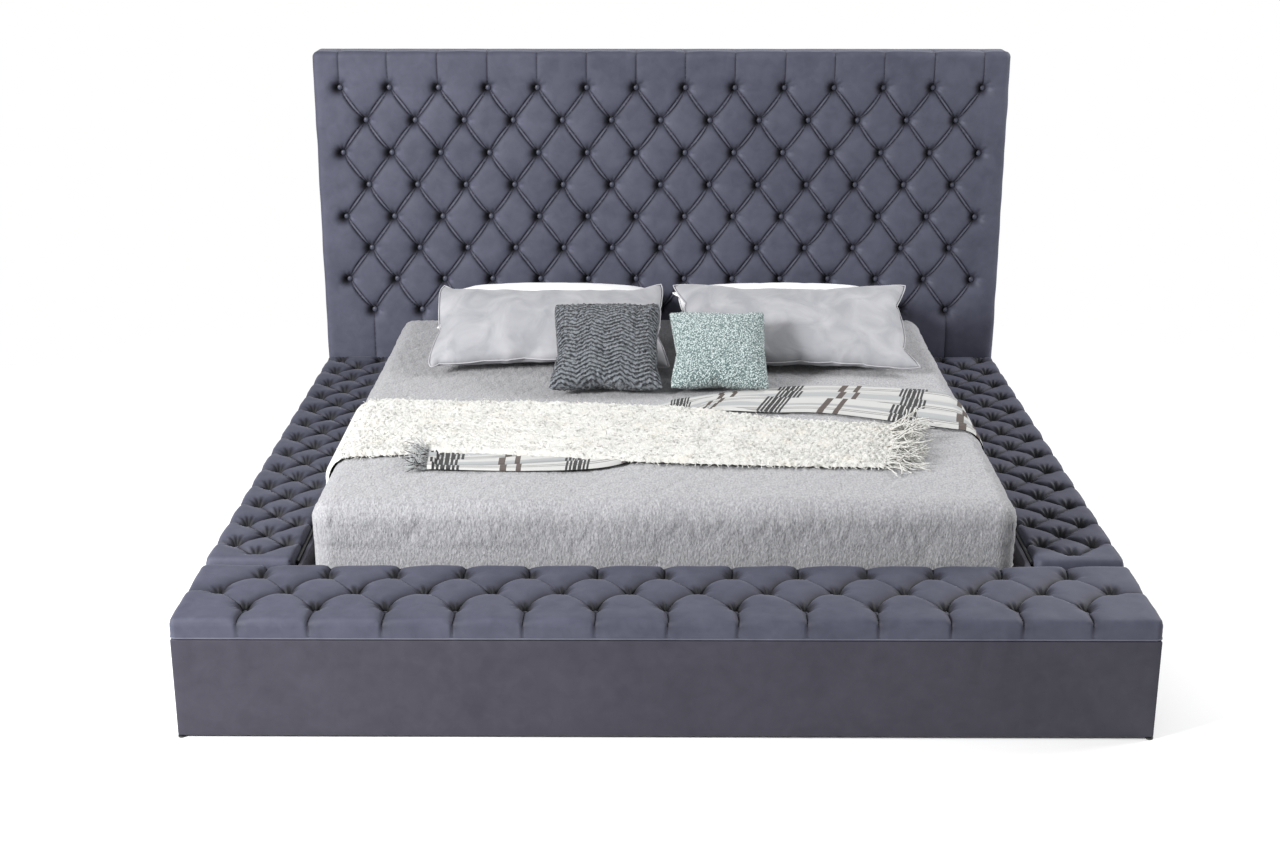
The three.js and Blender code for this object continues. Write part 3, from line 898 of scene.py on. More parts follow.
def sideLid(word, side, values=sideLidValues):
    low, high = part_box(f"{word}_lid_pad")
    middle = ((low.x + high.x) / 2, (low.y + high.y) / 2)
    half = (high.y - low.y) / 2
    columns = []
    for across, shift in values["columns"]:
        column = []
        along = values["first"] + shift
        while benchFront + along - middle[1] < half - 0.03:
            column.append((side * across - middle[0], benchFront + along - middle[1]))
            along += values["pitch"]
        columns.append(column)
    buttons = [spot for column in columns for spot in column]
    pairs = lattice(columns, 1, values["pitch"] * 0.75)
    cross = strung(pairs, values["bow"], 0.0025, 0.95, 31 if side < 0 else 41)
    far = (high.x - low.x) / 2 + 0.06
    edges = [((x, y), (side * far, y)) for x, y in columns[0]]
    edges += [((x, y), (-side * far, y)) for x, y in columns[2]]
    upright = strung(edges, 0.002, 0.002, 0.8, 32 if side < 0 else 42)
    tuftedLid(word, buttons, cross + upright, {**lidTuft, "seed": 12 if side < 0 else 13})


benchLid()
for lidWord, lidSide in words:
    sideLid(lidWord, lidSide)
print("lids made")


panelValues = {"radius": 0.006, "step": 0.022, "crown": 0.0012, "crease": 0.0007, "inset": 0.0014}


def roundedPanel(name, node, seed, values=panelValues):
    # a board wrapped in cloth: soft edges, a slight crown and slow unevenness
    low, high = (np.array(corner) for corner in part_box(node))
    size = high - low
    middle = (low + high) / 2
    radius = min(values["radius"], size.min() * 0.3)
    lines = []
    for k in range(3):
        inner = size[k] / 2 - radius
        flat = np.linspace(-inner, inner, max(2, round(2 * inner / values["step"]) + 1))
        edge = radius * np.array([0.35, 0.7, 1.0])
        lines.append(np.concatenate([-inner - edge[::-1], flat, inner + edge]))
    parts = []
    for k in range(3):
        u, v = (k + 1) % 3, (k + 2) % 3
        for sign in (-1, 1):
            grid = np.zeros((len(lines[u]), len(lines[v]), 3))
            grid[..., k] = sign * size[k] / 2
            grid[..., u] = lines[u][:, None]
            grid[..., v] = lines[v][None, :]
            faces = gridFaces(len(lines[u]), len(lines[v]))
            if sign < 0:
                faces = faces[:, ::-1]
            parts.append((grid.reshape(-1, 3), [tuple(f) for f in faces]))
    points, faces = joined(parts)
    core = np.clip(points, -(size / 2 - radius), size / 2 - radius)
    out = points - core
    length = np.linalg.norm(out, axis=1)[:, None]
    out = out / length
    points = core + out * radius
    share = np.clip(1 - np.abs(points) / (size / 2), 0, 1)
    thin = int(np.argmin(size))
    room = np.delete(share, thin, 1)
    room = np.clip(room * 8, 0, 1).prod(1)
    crown = values["crown"] * room
    flat = np.delete(points, thin, 1)
    wave = values["crease"] * ripple(flat, 0.35, 6, seed) * room
    points = points - out * values["inset"] + out * (crown + wave * 0.7)[:, None]
    piece = meshPiece(name, points + middle, faces, shadedPanelLook)
    fuse(piece, 0.00005)
    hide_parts(node)
    return piece


def fuse(piece, distance):
    work = bmesh.new()
    work.from_mesh(piece.data)
    bmesh.ops.remove_doubles(work, verts=work.verts, dist=distance)
    work.to_mesh(piece.data)
    work.free()
    piece.data.shade_smooth()


panels = ["bench_front_panel", "bench_back_panel", "bench_end_left", "bench_end_right"]
panels += [f"side_{place}_panel_{word}" for place in ("outer", "inner") for word, _ in words]
for number, panelNode in enumerate(panels):
    panel = roundedPanel(panelNode.replace("_panel", "") + "_cloth", panelNode, 50 + number)
print("panels made")


weltShape = {"radius": 0.0024, "inset": 0.0012, "corner": 0.016, "step": 0.02}


def lidWelts(values=weltShape):  # a corded seam round the three free edges of each lid's underside
    radius, inset, corner = values["radius"], values["inset"], values["corner"]
    for name, first in (("bench", 0), ("left", 3), ("right", 1)):
        low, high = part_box(f"{name}_lid_pad")
        x = [low.x + inset, high.x - inset]
        y = [low.y + inset, high.y - inset]
        z = low.z + radius + 0.0004
        route = [(x[0], y[1]), (x[0], y[0]), (x[1], y[0]), (x[1], y[1])]
        route = route[first:] + route[:first]  # starts and ends at the hinge
        path = []
        for i, spot in enumerate(route):
            spot = np.array(spot)
            if i in (0, 3):
                path.append(spot)
                continue
            before = np.array(route[i - 1]) - spot
            after = np.array(route[i + 1]) - spot
            before, after = before / np.linalg.norm(before), after / np.linalg.norm(after)
            centre = spot + (before + after) * corner
            for t in np.linspace(0, math.pi / 2, 7):
                path.append(centre - after * corner * math.cos(t) - before * corner * math.sin(t))
        path = np.array(path)
        fine = []
        for a, b in zip(path, path[1:]):
            steps = max(1, round(np.linalg.norm(b - a) / values["step"]))
            fine += [a + (b - a) * k / steps for k in range(steps)]
        fine.append(path[-1])
        fine = np.column_stack([np.array(fine), np.full(len(fine), z)])
        points, faces = tube(fine, radius, 8)
        meshPiece(f"{name}_lid_welt", points, faces, weltLook, f"{name}_lid")


lidWelts()


def keep(node, look, bevel):  # a CAD piece that shows as it is, with its edges broken
    piece = cadNodes[node]
    piece.data.materials.clear()
    piece.data.materials.append(look)
    if bevel:
        edge = piece.modifiers.new("edge", "BEVEL")
        edge.width = bevel
        edge.segments = 2
        edge.limit_method = "ANGLE"
        piece.data.shade_flat()


sideEnds = [f"side_{part}_{word}" for part in ("foot_end", "head_end", "floor") for word, _ in words]
hingeParts = [f"{name}_hinge_{part}" for name in ("bench", "left", "right")
              for part in ("fixed_leaf", "moving_leaf", "pin")]
finishValues = (  # material, width of the broken edges, nodes
    (wood("pine", 0), 0.003, ["headboard_top_rail", "headboard_bottom_rail"]),
    (wood("pine", 1), 0.003, ["centre_beam", "platform_cleat_left", "platform_cleat_right"]),
    (wood("pine", 2), 0.003, ["headboard_stile_left", "headboard_stile_right", "headboard_centre_post",
                              "centre_leg_1", "centre_leg_2"]),
    (wood("plywood", 0), 0.001, ["headboard_face_board", "bench_lid_board",
                                 *(f"platform_board_{k}" for k in range(1, 5))]),
    (wood("plywood", 1), 0.001, ["left_lid_board", "right_lid_board"]),
    (liningLook, 0.001, ["headboard_back_cover", "bench_floor", "bench_divider", *sideEnds]),
    (plasticLook, 0.0006, ["bench_glide_left", "bench_glide_right"]),
    (steelLook, 0.0, hingeParts),
)
for look, bevel, nodes in finishValues:
    for node in nodes:
        keep(node, look, bevel)
print("frame finished")


mattressValues = {
    "radius": 0.058, "step": 0.03, "sideStep": 0.02, "lip": 0.03, "swell": 0.004,
    "corner": 0.062, "cord": 0.004, "lowCord": 0.030, "highCord": 0.066,
}


def mattress(values=mattressValues):
    low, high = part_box("mattress")
    size = (high.x - low.x, high.y - low.y)
    middle = ((low.x + high.x) / 2, (low.y + high.y) / 2)
    radius = values["radius"]
    flat, faces = plainCloth(size, radius, values["step"])
    cover = softCover(flat, faces, size, radius, high.z - low.z, values["sideStep"], lip=values["lip"])
    points, normals, flat, faces, below = cover
    swell = values["swell"] * np.sin(np.clip(below / (high.z - low.z), 0, 1) * math.pi)
    points = points + normals * (swell - values["swell"])[:, None]
    points[:, :2] += middle
    points[:, 2] += high.z
    body = meshPiece("mattress_body", points, faces, tickingLook)
    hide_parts("mattress")
    corner = values["corner"]
    parts = []
    for z in (low.z + values["lowCord"], high.z - values["highCord"]):
        path = []
        for k in range(4):
            centre = (middle[0] + (size[0] / 2 - corner - 0.002) * (1, -1, -1, 1)[k],
                      middle[1] + (size[1] / 2 - corner - 0.002) * (1, 1, -1, -1)[k])
            for t in np.linspace(0, math.pi / 2, 7):
                turn = t + k * math.pi / 2
                path.append((centre[0] + corner * math.cos(turn), centre[1] + corner * math.sin(turn), z))
        parts.append(tube(path, values["cord"], closed=True))
    points, faces = joined(parts)
    piping = meshPiece("mattress_piping", points, faces, pipingLook)
    piping.parent = body


mattress()


quiltShape = {"radius": 0.062, "step": 0.0075, "hem": 0.300, "lip": 0.006, "flat": (2.35, 2.155)}


def quiltHeight(flat):  # the quilt's own relief: long fine crinkles and slow sags
    crinkle = ripple(flat, 0.021, 16, 71, (1.0, 3.2))
    crinkle += 0.6 * ripple(flat, 0.040, 10, 72, (1.0, 1.6))
    diamonds = np.abs(np.sin((flat[:, 0] + flat[:, 1] * 0.55) * math.pi / 0.12)
                      * np.sin((flat[:, 0] - flat[:, 1] * 0.55) * math.pi / 0.12))
    sag = ripple(flat, 0.55, 6, 73)
    return 0.0008 * crinkle + 0.0016 * np.clip(diamonds * 3, 0, 1) + 0.0022 * sag


def quilt(values=quiltShape):
    size = (quiltHigh.x - quiltLow.x, quiltHigh.y - quiltLow.y)
    middle = ((quiltLow.x + quiltHigh.x) / 2, (quiltLow.y + quiltHigh.y) / 2)
    drop = quiltTop - values["hem"]
    ends = (True, True, True, False)
    flat, faces = plainCloth(size, values["radius"], values["step"], ends)
    cover = softCover(flat, faces, size, values["radius"], drop, values["step"], values["lip"], ends)
    points, normals, flat, faces, below = cover
    relief = quiltHeight(flat)
    wide = np.clip((np.abs(flat[:, 0]) - 0.9) / 0.15, 0, 1)
    foot = np.clip((-flat[:, 1] - size[1] / 2 + 0.12) / 0.10, 0, 1)
    swag = 0.006 * ripple(flat, 0.22, 5, 74) * np.clip(below / drop, 0, 1)
    corner = wide * foot
    room = 0.0035 * np.minimum(1, 1 - np.maximum(wide, foot) * 0.4)
    room = room - 0.006 * foot * np.clip((below - 0.04) / 0.03, 0, 1)  # clear of the bench lid's swing
    lift = relief + np.where(below > 0, np.minimum(swag, 0.001), 0) - 0.0035 + 0.002 * corner
    points = points + normals * np.minimum(lift, room)[:, None]
    points[:, :2] += middle
    points[:, 2] += quiltTop
    piece = meshPiece("quilt_cloth", points, faces, quiltLook, cloth=flat)
    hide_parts("quilt")


quilt()
print("quilt made")


def onQuilt(across, lift):  # a place on the quilt, by the distance over it from the middle
    radius = quiltShape["radius"]
    half = quiltHigh.x - radius
    side = np.sign(across)
    d = np.abs(across)
    turn = np.clip((d - half) / radius, 0, math.pi / 2)
    down = np.maximum(d - half - radius * math.pi / 2, 0)
    out = radius + lift
    x = np.minimum(d, half) + out * np.sin(turn)
    z = quiltTop - radius + out * np.cos(turn) - down
    return side * x, z


def smoothLine(points, count):  # a smooth curve through a few places
    points = np.array(points, float)
    at = np.linspace(0, len(points) - 1, count)
    k = np.clip(at.astype(int), 0, len(points) - 2)
    t = (at - k)[:, None]
    before = points[np.maximum(k - 1, 0)]
    after = points[np.minimum(k + 2, len(points) - 1)]
    a, b = points[k], points[k + 1]
    return 0.5 * (2 * a + (b - before) * t + (2 * before - 5 * a + 4 * b - after) * t ** 2
                  + (3 * a - before - 3 * b + after) * t ** 3)


clothValues = {
    "quality": 6, "mass": 0.25, "tension_stiffness": 25, "compression_stiffness": 25, "shear_stiffness": 5,
    "bending_stiffness": 0.4, "use_pressure": True,
}
simulatedFrames = 20


def inflate(points, faces, pressure):  # a short cloth simulation under air pressure
    scene = bpy.context.scene
    mesh = bpy.data.meshes.new("bag")
    mesh.from_pydata(points.tolist(), [], faces)
    bag = bpy.data.objects.new("bag", mesh)
    scene.collection.objects.link(bag)
    cloth = bag.modifiers.new("cloth", "CLOTH")
    for key, value in clothValues.items():
        setattr(cloth.settings, key, value)
    cloth.settings.uniform_pressure_force = pressure
    cloth.settings.effector_weights.gravity = 0
    cloth.collision_settings.use_collision = False
    cloth.point_cache.frame_start = 1
    cloth.point_cache.frame_end = simulatedFrames
    for number in range(1, simulatedFrames + 1):
        scene.frame_set(number)
    shown = bag.evaluated_get(bpy.context.evaluated_depsgraph_get())
    result = np.array([tuple(v.co) for v in shown.data.vertices])
    bpy.data.objects.remove(bag)
    scene.frame_set(1)
    return result


def bagShape(size, cells, seed, pressure, share):
    # two layers of cloth sewn round the edge: x across, z up, y through; thin where they meet
    width, thickness, height = size
    nx, nz = cells
    x = np.linspace(-1, 1, nx + 1)
    z = np.linspace(-1, 1, nz + 1)
    gx, gz = (g.ravel() for g in np.meshgrid(x, z, indexing="ij"))
    rimmed = (np.abs(gx) > 1 - 1e-9) | (np.abs(gz) > 1 - 1e-9)
    profile = ((1 - gx ** 2) * (1 - gz ** 2)) ** 0.42
    pull = 0.045 * np.cos(gz * math.pi / 2) * np.sign(gx) * (np.abs(gx) ** 6)
    pullZ = 0.055 * np.cos(gx * math.pi / 2) * np.sign(gz) * (np.abs(gz) ** 6)
    rng = np.random.default_rng(seed)
    front = np.column_stack([gx * width / 2, -profile, gz * height / 2])
    inner = np.flatnonzero(~rimmed)
    back = front[inner] * (1, -1, 1)
    backIndex = np.full(len(front), -1)
    backIndex[inner] = len(front) + np.arange(len(inner))
    backIndex[rimmed] = np.flatnonzero(rimmed)
    quads = gridFaces(nx + 1, nz + 1)
    faces = [tuple(f) for f in quads] + [tuple(backIndex[f][::-1]) for f in quads]
    points = np.concatenate([front, back])
    rim = [i * (nz + 1) for i in range(nx + 1)]
    rim += [nx * (nz + 1) + k for k in range(1, nz + 1)]
    rim += [i * (nz + 1) + nz for i in range(nx - 1, -1, -1)]
    rim += list(range(nz - 1, 0, -1))
    whole = np.array([width, thickness, height]) / 2
    plain = points.copy()
    plain[:, 1] *= thickness / 2
    plain[:, 0] -= np.concatenate([pull, pull[inner]]) * width / 2
    plain[:, 2] -= np.concatenate([pullZ, pullZ[inner]]) * height / 2
    plain *= whole / np.abs(plain).max(0)
    points[:, 1] *= thickness * 0.16
    points[:, 1] += rng.normal(0, 0.0012, len(points))
    points = inflate(points, faces, pressure)
    points *= whole / np.abs(points).max(0)
    plain = plain * (1 - share) + points * share
    points = plain * (whole / np.abs(plain).max(0))
    cloth = np.column_stack([np.concatenate([gx, gx[inner]]) * width / 2,
                             np.concatenate([gz, gz[inner]]) * height / 2])
    return points, faces, cloth, rim


def subdivided(points, faces, cloth, levels):
    # smooths and refines a bag in a scratch object, and gives its points, faces and cloth places
    mesh = bpy.data.meshes.new("refine")
    mesh.from_pydata(points.tolist(), [], faces)
    storeCloth(mesh, cloth)
    work = bpy.data.objects.new("refine", mesh)
    bpy.context.scene.collection.objects.link(work)
    smooth = work.modifiers.new("smooth", "SUBSURF")
    smooth.levels = smooth.render_levels = levels
    shown = work.evaluated_get(bpy.context.evaluated_depsgraph_get())
    made = shown.to_mesh()
    count = len(made.vertices)
    place, normal, flat = (np.zeros(count * 3, np.float32) for _ in range(3))
    made.vertices.foreach_get("co", place)
    made.vertices.foreach_get("normal", normal)
    made.attributes["cloth"].data.foreach_get("vector", flat)
    corners = [tuple(polygon.vertices) for polygon in made.polygons]
    shown.to_mesh_clear()
    bpy.data.objects.remove(work)
    return (place.reshape(-1, 3).astype(float), corners, flat.reshape(-1, 3)[:, :2].astype(float),
            normal.reshape(-1, 3).astype(float))


plainBag = {"cells": (56, 34), "room": 0.001, "pressure": 2.4, "share": 0.40, "levels": 1}
knitBag = {"cells": (36, 36), "room": 0.0055, "pressure": 3.0, "share": 0.25, "levels": 2}
pillowValues = {  # size across, through and up; lean in degrees from lying flat
    "pillow": {
        **plainBag, "nodes": {"pillow_left": 81, "pillow_right": 82}, "size": (0.800, 0.176, 0.470),
        "lean": 2, "look": whiteLook, "slot": "white_cotton", "piping": whiteLook,
    },
    "sham": {
        **plainBag, "nodes": {"sham_left": 83, "sham_right": 84}, "size": (0.830, 0.140, 0.490),
        "lean": 22, "look": greyLook, "slot": "grey_cotton", "piping": pipingLook,
    },
    "slate": {
        **knitBag, "nodes": {"slate_cushion": 85}, "size": (0.385, 0.150, 0.400),
        "lean": 32, "look": slateLook, "slot": "slate_knit",
    },
    "mint": {
        **knitBag, "nodes": {"mint_cushion": 86}, "size": (0.345, 0.140, 0.355),
        "lean": 32, "look": mintLook, "slot": "mint_knit",
    },
}
pipingRadius = 0.0024


def chevron(flat):  # zigzag cords of a chunky knit
    leg = slateValues["leg"]
    zig = np.abs(((flat[:, 0] / leg) % 2) - 1) * leg * 0.5
    row = (flat[:, 1] + zig) / slateValues["pitch"]
    cord = np.abs(np.sin(row * math.pi))
    twist = np.sin((flat[:, 0] + flat[:, 1] * 0.7) * math.tau / 0.011)
    return 0.0038 * cord + 0.0008 * twist + 0.0014 * ripple(flat, 0.016, 12, 92)


def boucle(flat):  # close small loops
    bumps = np.sin(flat[:, 0] * math.tau / 0.013 + 2 * np.sin(flat[:, 1] * 90))
    bumps = bumps * np.sin(flat[:, 1] * math.tau / 0.012 + 2 * np.sin(flat[:, 0] * 110))
    return 0.0020 * bumps + 0.0012 * ripple(flat, 0.011, 12, 91)


reliefs = {"slate": chevron, "mint": boucle}


def pillow(kind, node, seed, values):
    size = np.array(values["size"])
    low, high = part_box(node)
    centre = (low + high) / 2
    bag = bagShape(size - 2 * values["room"], values["cells"], seed, values["pressure"], values["share"])
    points, faces, cloth, rim = bag
    rimPath = points[rim]
    points, faces, cloth, normals = subdivided(points, faces, cloth, values["levels"])
    if kind in reliefs:
        edge = np.minimum(size[0] / 2 - np.abs(cloth[:, 0]), size[2] / 2 - np.abs(cloth[:, 1]))
        points = points + normals * (reliefs[kind](cloth) * np.clip(edge / 0.02, 0.3, 1))[:, None]
    lean = math.radians(values["lean"] - 90)

    def place(p):
        y = p[:, 1] * math.cos(lean) - p[:, 2] * math.sin(lean)
        z = p[:, 1] * math.sin(lean) + p[:, 2] * math.cos(lean)
        made = np.column_stack([p[:, 0], y, z]) + np.array(centre)
        floor = quiltTop + 0.002
        under = made[:, 2] < floor + 0.012
        made[under, 2] = floor + 0.012 * np.exp((made[under, 2] - floor - 0.012) / 0.012)
        return made

    piece = meshPiece(node + "_bag", place(points), faces, values["look"], cloth=cloth)
    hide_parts(node)
    if "piping" in values:
        points, faces = tube(place(rimPath), pipingRadius, 6, closed=True)
        seam = meshPiece(node + "_piping", points, faces, values["piping"])
        seam.parent = piece


for pillowKind, pillowSettings in pillowValues.items():
    for pillowNode, pillowSeed in pillowSettings["nodes"].items():
        pillow(pillowKind, pillowNode, pillowSeed, pillowSettings)
print("pillows made")


def strand(root, along, length, droop, rng, thickness, segments):
    # one loose yarn end: leaves along, wavers and lies down on what is under it
    direction = np.array(along, float)
    direction /= np.linalg.norm(direction)
    spots = [np.array(root, float)]
    for k in range(segments):
        direction = direction + rng.normal(0, 0.28, 3) + np.array([0, 0, -droop])
        direction /= np.linalg.norm(direction)
        spots.append(spots[-1] + direction * length / segments)
    return np.array(spots), thickness


def strandMesh(strands, sides=4):  # every yarn as a thin tube, thinner at its tip
    parts = []
    for path, thickness in strands:
        radius = np.full(len(path), thickness)
        radius[-1] *= 0.55
        parts.append(tube(path, radius, sides))
    return joined(parts)


def lying(yarn):  # keeps a yarn on top of the quilt
    spots, thick = yarn
    spots[:, 2] = np.maximum(spots[:, 2], quiltTop + 0.003 + thick)
    return spots, thick


def hanging(yarn, low, high):  # keeps a yarn close beside the quilt
    spots, thick = yarn
    spots[:, 0] = np.clip(spots[:, 0], low, high)
    return spots, thick


throwValues = {
    "far": ((-1.155, 1.27), (-1.06, 1.30), (-0.93, 1.305), (-0.50, 1.285), (-0.009, 1.244), (0.424, 1.110),
            (0.700, 1.060)),
    "near": ((-1.155, 0.80), (-1.06, 0.77), (-0.93, 0.775), (-0.60, 0.800), (-0.069, 0.735), (0.35, 0.700),
             (0.640, 0.690)),
    "flat": (0.50, 1.86),
    "rows": 340,
    "columns": 96,
    "curls": 5200,
    "tassel": (0.09, 0.155),
}


def clothBand(values):  # a band between two edges, over the quilt: across is x along the band
    rows, columns = values["rows"], values["columns"]
    far = smoothLine(values["far"], rows)
    near = smoothLine(values["near"], rows)
    t = np.linspace(0, 1, columns)
    flat = near[:, None] * (1 - t)[None, :, None] + far[:, None] * t[None, :, None]
    s = np.concatenate([[0], np.cumsum(np.linalg.norm(np.diff((far + near) / 2, axis=0), axis=1))])
    cloth = np.stack(np.broadcast_arrays(s[:, None], t[None, :] * values["flat"][0]), -1).reshape(-1, 2)
    across = flat[..., 0].ravel()
    y = benchFront + flat[..., 1].ravel()
    edge = np.minimum(np.minimum(t, 1 - t)[None, :] * values["flat"][0], 1).repeat(rows, 0).ravel()
    return across, y, cloth, edge


def whiteThrow(values=throwValues):
    across, y, cloth, edge = clothBand(values)
    lumps = np.abs(np.sin(cloth[:, 0] * math.pi / 0.019 + 0.9 * np.sin(cloth[:, 1] * 75)))
    lumps = lumps * np.abs(np.sin(cloth[:, 1] * math.pi / 0.017 + 0.9 * np.sin(cloth[:, 0] * 62)))
    relief = 0.0085 * np.sqrt(lumps) + 0.0018 * ripple(cloth, 0.014, 12, 101)
    slow = 0.003 * ripple(cloth, 0.16, 6, 102)
    roll = np.clip(edge / 0.012, 0, 1) ** 0.5
    hang = np.clip((np.abs(across) - 0.93) / 0.05, 0, 1)
    lift = 0.006 + (0.010 + slow * (1 - 0.7 * hang) + relief * (1 - 0.45 * hang)) * roll
    lift = np.where(hang > 0, np.minimum(lift, 0.0175), lift)
    x, z = onQuilt(across, lift - 0.0006)
    y = y + 0.004 * np.sin(cloth[:, 0] * 240) * (1 - roll)
    points = np.column_stack([x, y, z])
    rows, columns = values["rows"], values["columns"]
    faces = gridFaces(rows, columns)
    band = meshPiece("white_throw_band", points, faces, woolLook, cloth=cloth)
    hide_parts("white_throw")

    rng = np.random.default_rng(103)
    grid = points.reshape(rows, columns, 3)
    strands = []
    for _ in range(values["curls"]):
        i, k = rng.integers(1, rows - 1), rng.integers(1, columns - 1)
        du, dv = grid[i + 1, k] - grid[i - 1, k], grid[i, k + 1] - grid[i, k - 1]
        normal = np.cross(du, dv)
        normal /= np.linalg.norm(normal) + 1e-12
        if normal[2] < 0:
            normal = -normal
        if abs(grid[i, k, 0]) > 0.955:
            continue
        lean = normal * 0.6 + rng.normal(0, 0.6, 3)
        root = grid[i, k] - normal * 0.001
        strands.append(strand(root, lean, rng.uniform(0.010, 0.017), 0.25, rng, 0.0011, 3))
    points, faces = strandMesh(strands, 3)
    pile = meshPiece("white_throw_pile", points, [f[:4] for f in faces], woolLook)
    pile.parent = band

    strands = []
    for k in range(columns):  # the loose end lying on the quilt, and the hanging end
        for _ in range(2):
            way = (1.0, rng.normal(0, 0.25), 0.02)
            length = rng.uniform(*values["tassel"])
            strands.append(lying(strand(grid[-1, k], way, length, 0.10, rng, 0.0021, 7)))
            way = (0.05, rng.normal(0, 0.2), -1.0)
            yarn = strand(grid[0, k], way, rng.uniform(0.03, 0.055), 0.2, rng, 0.0017, 4)
            strands.append(hanging(yarn, -0.9935, -0.979))
    for k in range(0, rows, 2):  # short ends along both long edges
        for column, out in ((0, -1.0), (columns - 1, 1.0)):
            root = grid[k, column]
            if abs(root[0]) < 0.94:
                way = (rng.normal(0, 0.5), out, 0.15)
                strands.append(lying(strand(root, way, rng.uniform(0.012, 0.026), 0.2, rng, 0.0014, 3)))
    points, faces = strandMesh(strands)
    fringe = meshPiece("white_throw_fringe", points, faces, woolLook)


whiteThrow()
print("white throw made")

stripedValues = {
    "far": ((-0.690, 0.83), (-0.40, 0.95), (-0.12, 1.18), (0.024, 1.330), (0.240, 1.420), (0.442, 1.479),
            (0.640, 1.480), (0.853, 1.456), (0.960, 1.400), (1.045, 1.330)),
    "near": ((-0.680, 0.668), (-0.40, 0.655), (-0.15, 0.700), (0.00, 0.90), (0.130, 1.195), (0.330, 1.205),
             (0.514, 1.200), (0.760, 1.100), (0.900, 1.040), (1.030, 1.000)),
    "flat": (0.36, 1.98),
    "folds": 4.0,
    "step": 0.010,
    "rows": 330,
    "columns": 90,
}


def stripedThrow(values=stripedValues):
    across, y, cloth, edge = clothBand(values)
    rows, columns = values["rows"], values["columns"]
    grid = np.column_stack([across, y]).reshape(rows, columns, 2)
    spread = np.linalg.norm(grid[:, -1] - grid[:, 0], axis=1)
    slack = np.clip(1 - spread / values["flat"][0], 0, 0.75).repeat(columns)
    lane = cloth[:, 1] / values["flat"][0] * values["folds"]
    lane = lane + 0.30 * np.sin(cloth[:, 0] * 4.1 + 0.6) + 0.10 * np.sin(cloth[:, 0] * 15.0)
    turn = lane - np.floor(lane)  # folds lie one behind another, each dropping off at its far side
    wave = turn ** 0.7 * np.clip((1 - turn) / 0.12, 0, 1) * 2
    cloth[:, 0] += values["step"] * np.sin(np.floor(lane) * 2.4)  # the lines break from fold to fold
    amount = 0.0085 + 0.012 * slack
    hang = np.clip((np.abs(across) - 0.92) / 0.05, 0, 1)
    lift = 0.0045 + amount * (wave + 0.2) * 0.5 * (1 - 0.6 * hang) * np.clip(edge / 0.02, 0.25, 1)
    under = (across < 0.02) & (across > -0.66)
    lift = np.where(under, np.minimum(lift, 0.009), lift)
    lift = np.where(hang > 0, np.minimum(lift, 0.013), lift)
    x, z = onQuilt(across, lift)
    points = np.column_stack([x, y, z])
    # painted shadow just behind each fold's drop
    shade = 0.7 * np.exp(-turn / 0.10)
    sheet = meshPiece("striped_throw_cloth", points, gridFaces(rows, columns), stripedLook,
                      cloth=cloth, pull=shade)
    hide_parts("plaid_throw")
    rng = np.random.default_rng(111)
    ends = points.reshape(rows, columns, 3)
    strands = []
    for k in range(columns):
        for _ in range(2):
            way = (-1.0, rng.normal(0, 0.22), 0.05)
            strands.append(lying(strand(ends[0, k], way, rng.uniform(0.05, 0.08), 0.08, rng, 0.0011, 5)))
            way = (0.02, rng.normal(0, 0.25), -1.0)
            yarn = strand(ends[-1, k], way, rng.uniform(0.04, 0.06), 0.15, rng, 0.0011, 5)
            strands.append(hanging(yarn, 0.979, 0.991))
    points, faces = strandMesh(strands)
    cloth = np.full((len(points), 2), 0.09)  # every yarn takes the colour of one place along the cloth
    cloth[:, 0] = stripeValues["repeat"] * ((np.arange(len(points)) // 24 * 0.618) % 1)
    fringe = meshPiece("striped_throw_fringe", points, faces, stripedLook, cloth=cloth)


stripedThrow()
print("striped throw made")


studioValues = {
    "camera": (-0.0456, -4.2132, 2.2433),
    "pitch": 18.226,
    "roll": 0.0047,
    "lens": 50.86,
    "key": {
        "power": 680.0, "place": (-4.4, benchFront - 2.2, 2.9), "target": (0, 0.3, 0.5), "size": (1.5, 1.5),
    },
    "fill": {"power": 230.0, "place": (4.2, 0.9, 3.2), "target": (0.8, 0.0, 0.4), "size": (3.0, 2.0)},
    "world": 0.52,
    "floor": 30.0,
}


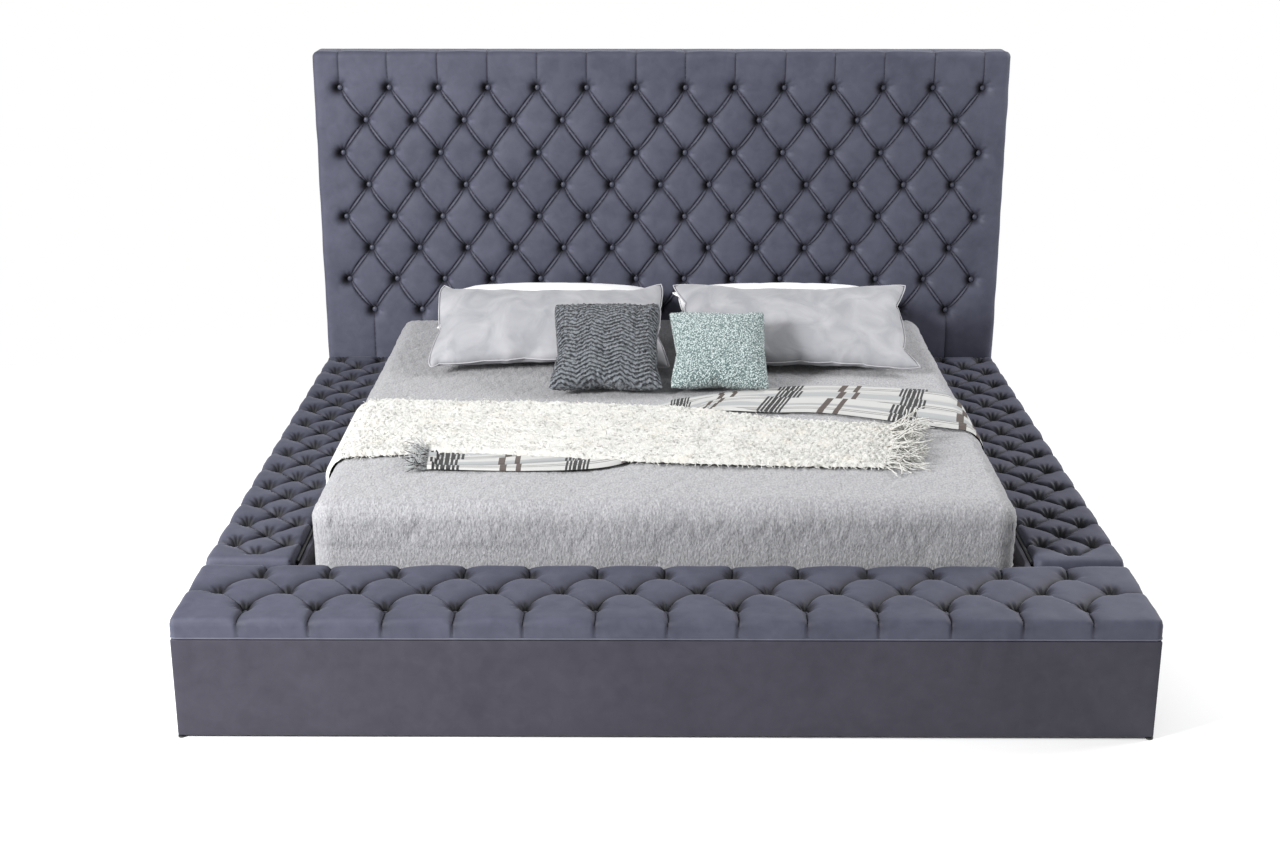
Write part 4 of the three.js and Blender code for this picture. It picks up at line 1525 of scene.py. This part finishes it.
def areaLight(name, power, place, target, size):
    lamp = bpy.data.lights.new(name, "AREA")
    lamp.energy = power
    lamp.shape = "RECTANGLE"
    lamp.size, lamp.size_y = size
    light = bpy.data.objects.new(name, lamp)
    bpy.context.scene.collection.objects.link(light)
    light.location = place
    light.rotation_euler = (Vector(target) - Vector(place)).to_track_quat("-Z", "Y").to_euler()


def studio(values=studioValues):
    mesh = bpy.data.meshes.new("floor")
    wide = values["floor"]
    corners = [(-wide, -wide, 0), (wide, -wide, 0), (wide, wide, 0), (-wide, wide, 0)]
    mesh.from_pydata(corners, [], [(0, 1, 2, 3)])
    mesh.materials.append(floorPaint())
    floor = bpy.data.objects.new("floor", mesh)
    bpy.context.scene.collection.objects.link(floor)

    world = bpy.data.worlds.new("studio")
    bpy.context.scene.world = world
    world.use_nodes = True
    tree = world.node_tree
    background = tree.nodes["Background"]
    background.inputs["Color"].default_value = (1.0, 1.0, 1.0, 1.0)
    background.inputs["Strength"].default_value = values["world"]
    backdrop = tree.nodes.new("ShaderNodeBackground")  # what shows behind the floor's far edge
    backdrop.inputs["Color"].default_value = (1.0, 1.0, 1.0, 1.0)
    seen = tree.nodes.new("ShaderNodeLightPath")
    mixed = tree.nodes.new("ShaderNodeMixShader")
    tree.links.new(seen.outputs["Is Camera Ray"], mixed.inputs[0])
    tree.links.new(background.outputs[0], mixed.inputs[1])
    tree.links.new(backdrop.outputs[0], mixed.inputs[2])
    tree.links.new(mixed.outputs[0], tree.nodes["World Output"].inputs[0])

    for name in ("key", "fill"):
        areaLight(name, **values[name])

    lens = bpy.data.cameras.new("camera")
    lens.lens = values["lens"]
    lens.sensor_width = 36.0
    lens.clip_end = 100
    camera = bpy.data.objects.new("camera", lens)
    bpy.context.scene.collection.objects.link(camera)
    x, y, z = values["camera"]
    camera.location = (x, benchFront + y, z)
    camera.rotation_euler = (math.radians(90 - values["pitch"]), 0, values["roll"])
    bpy.context.scene.camera = camera
    bpy.context.scene.view_settings.view_transform = "Standard"


studio()
print("studio made")
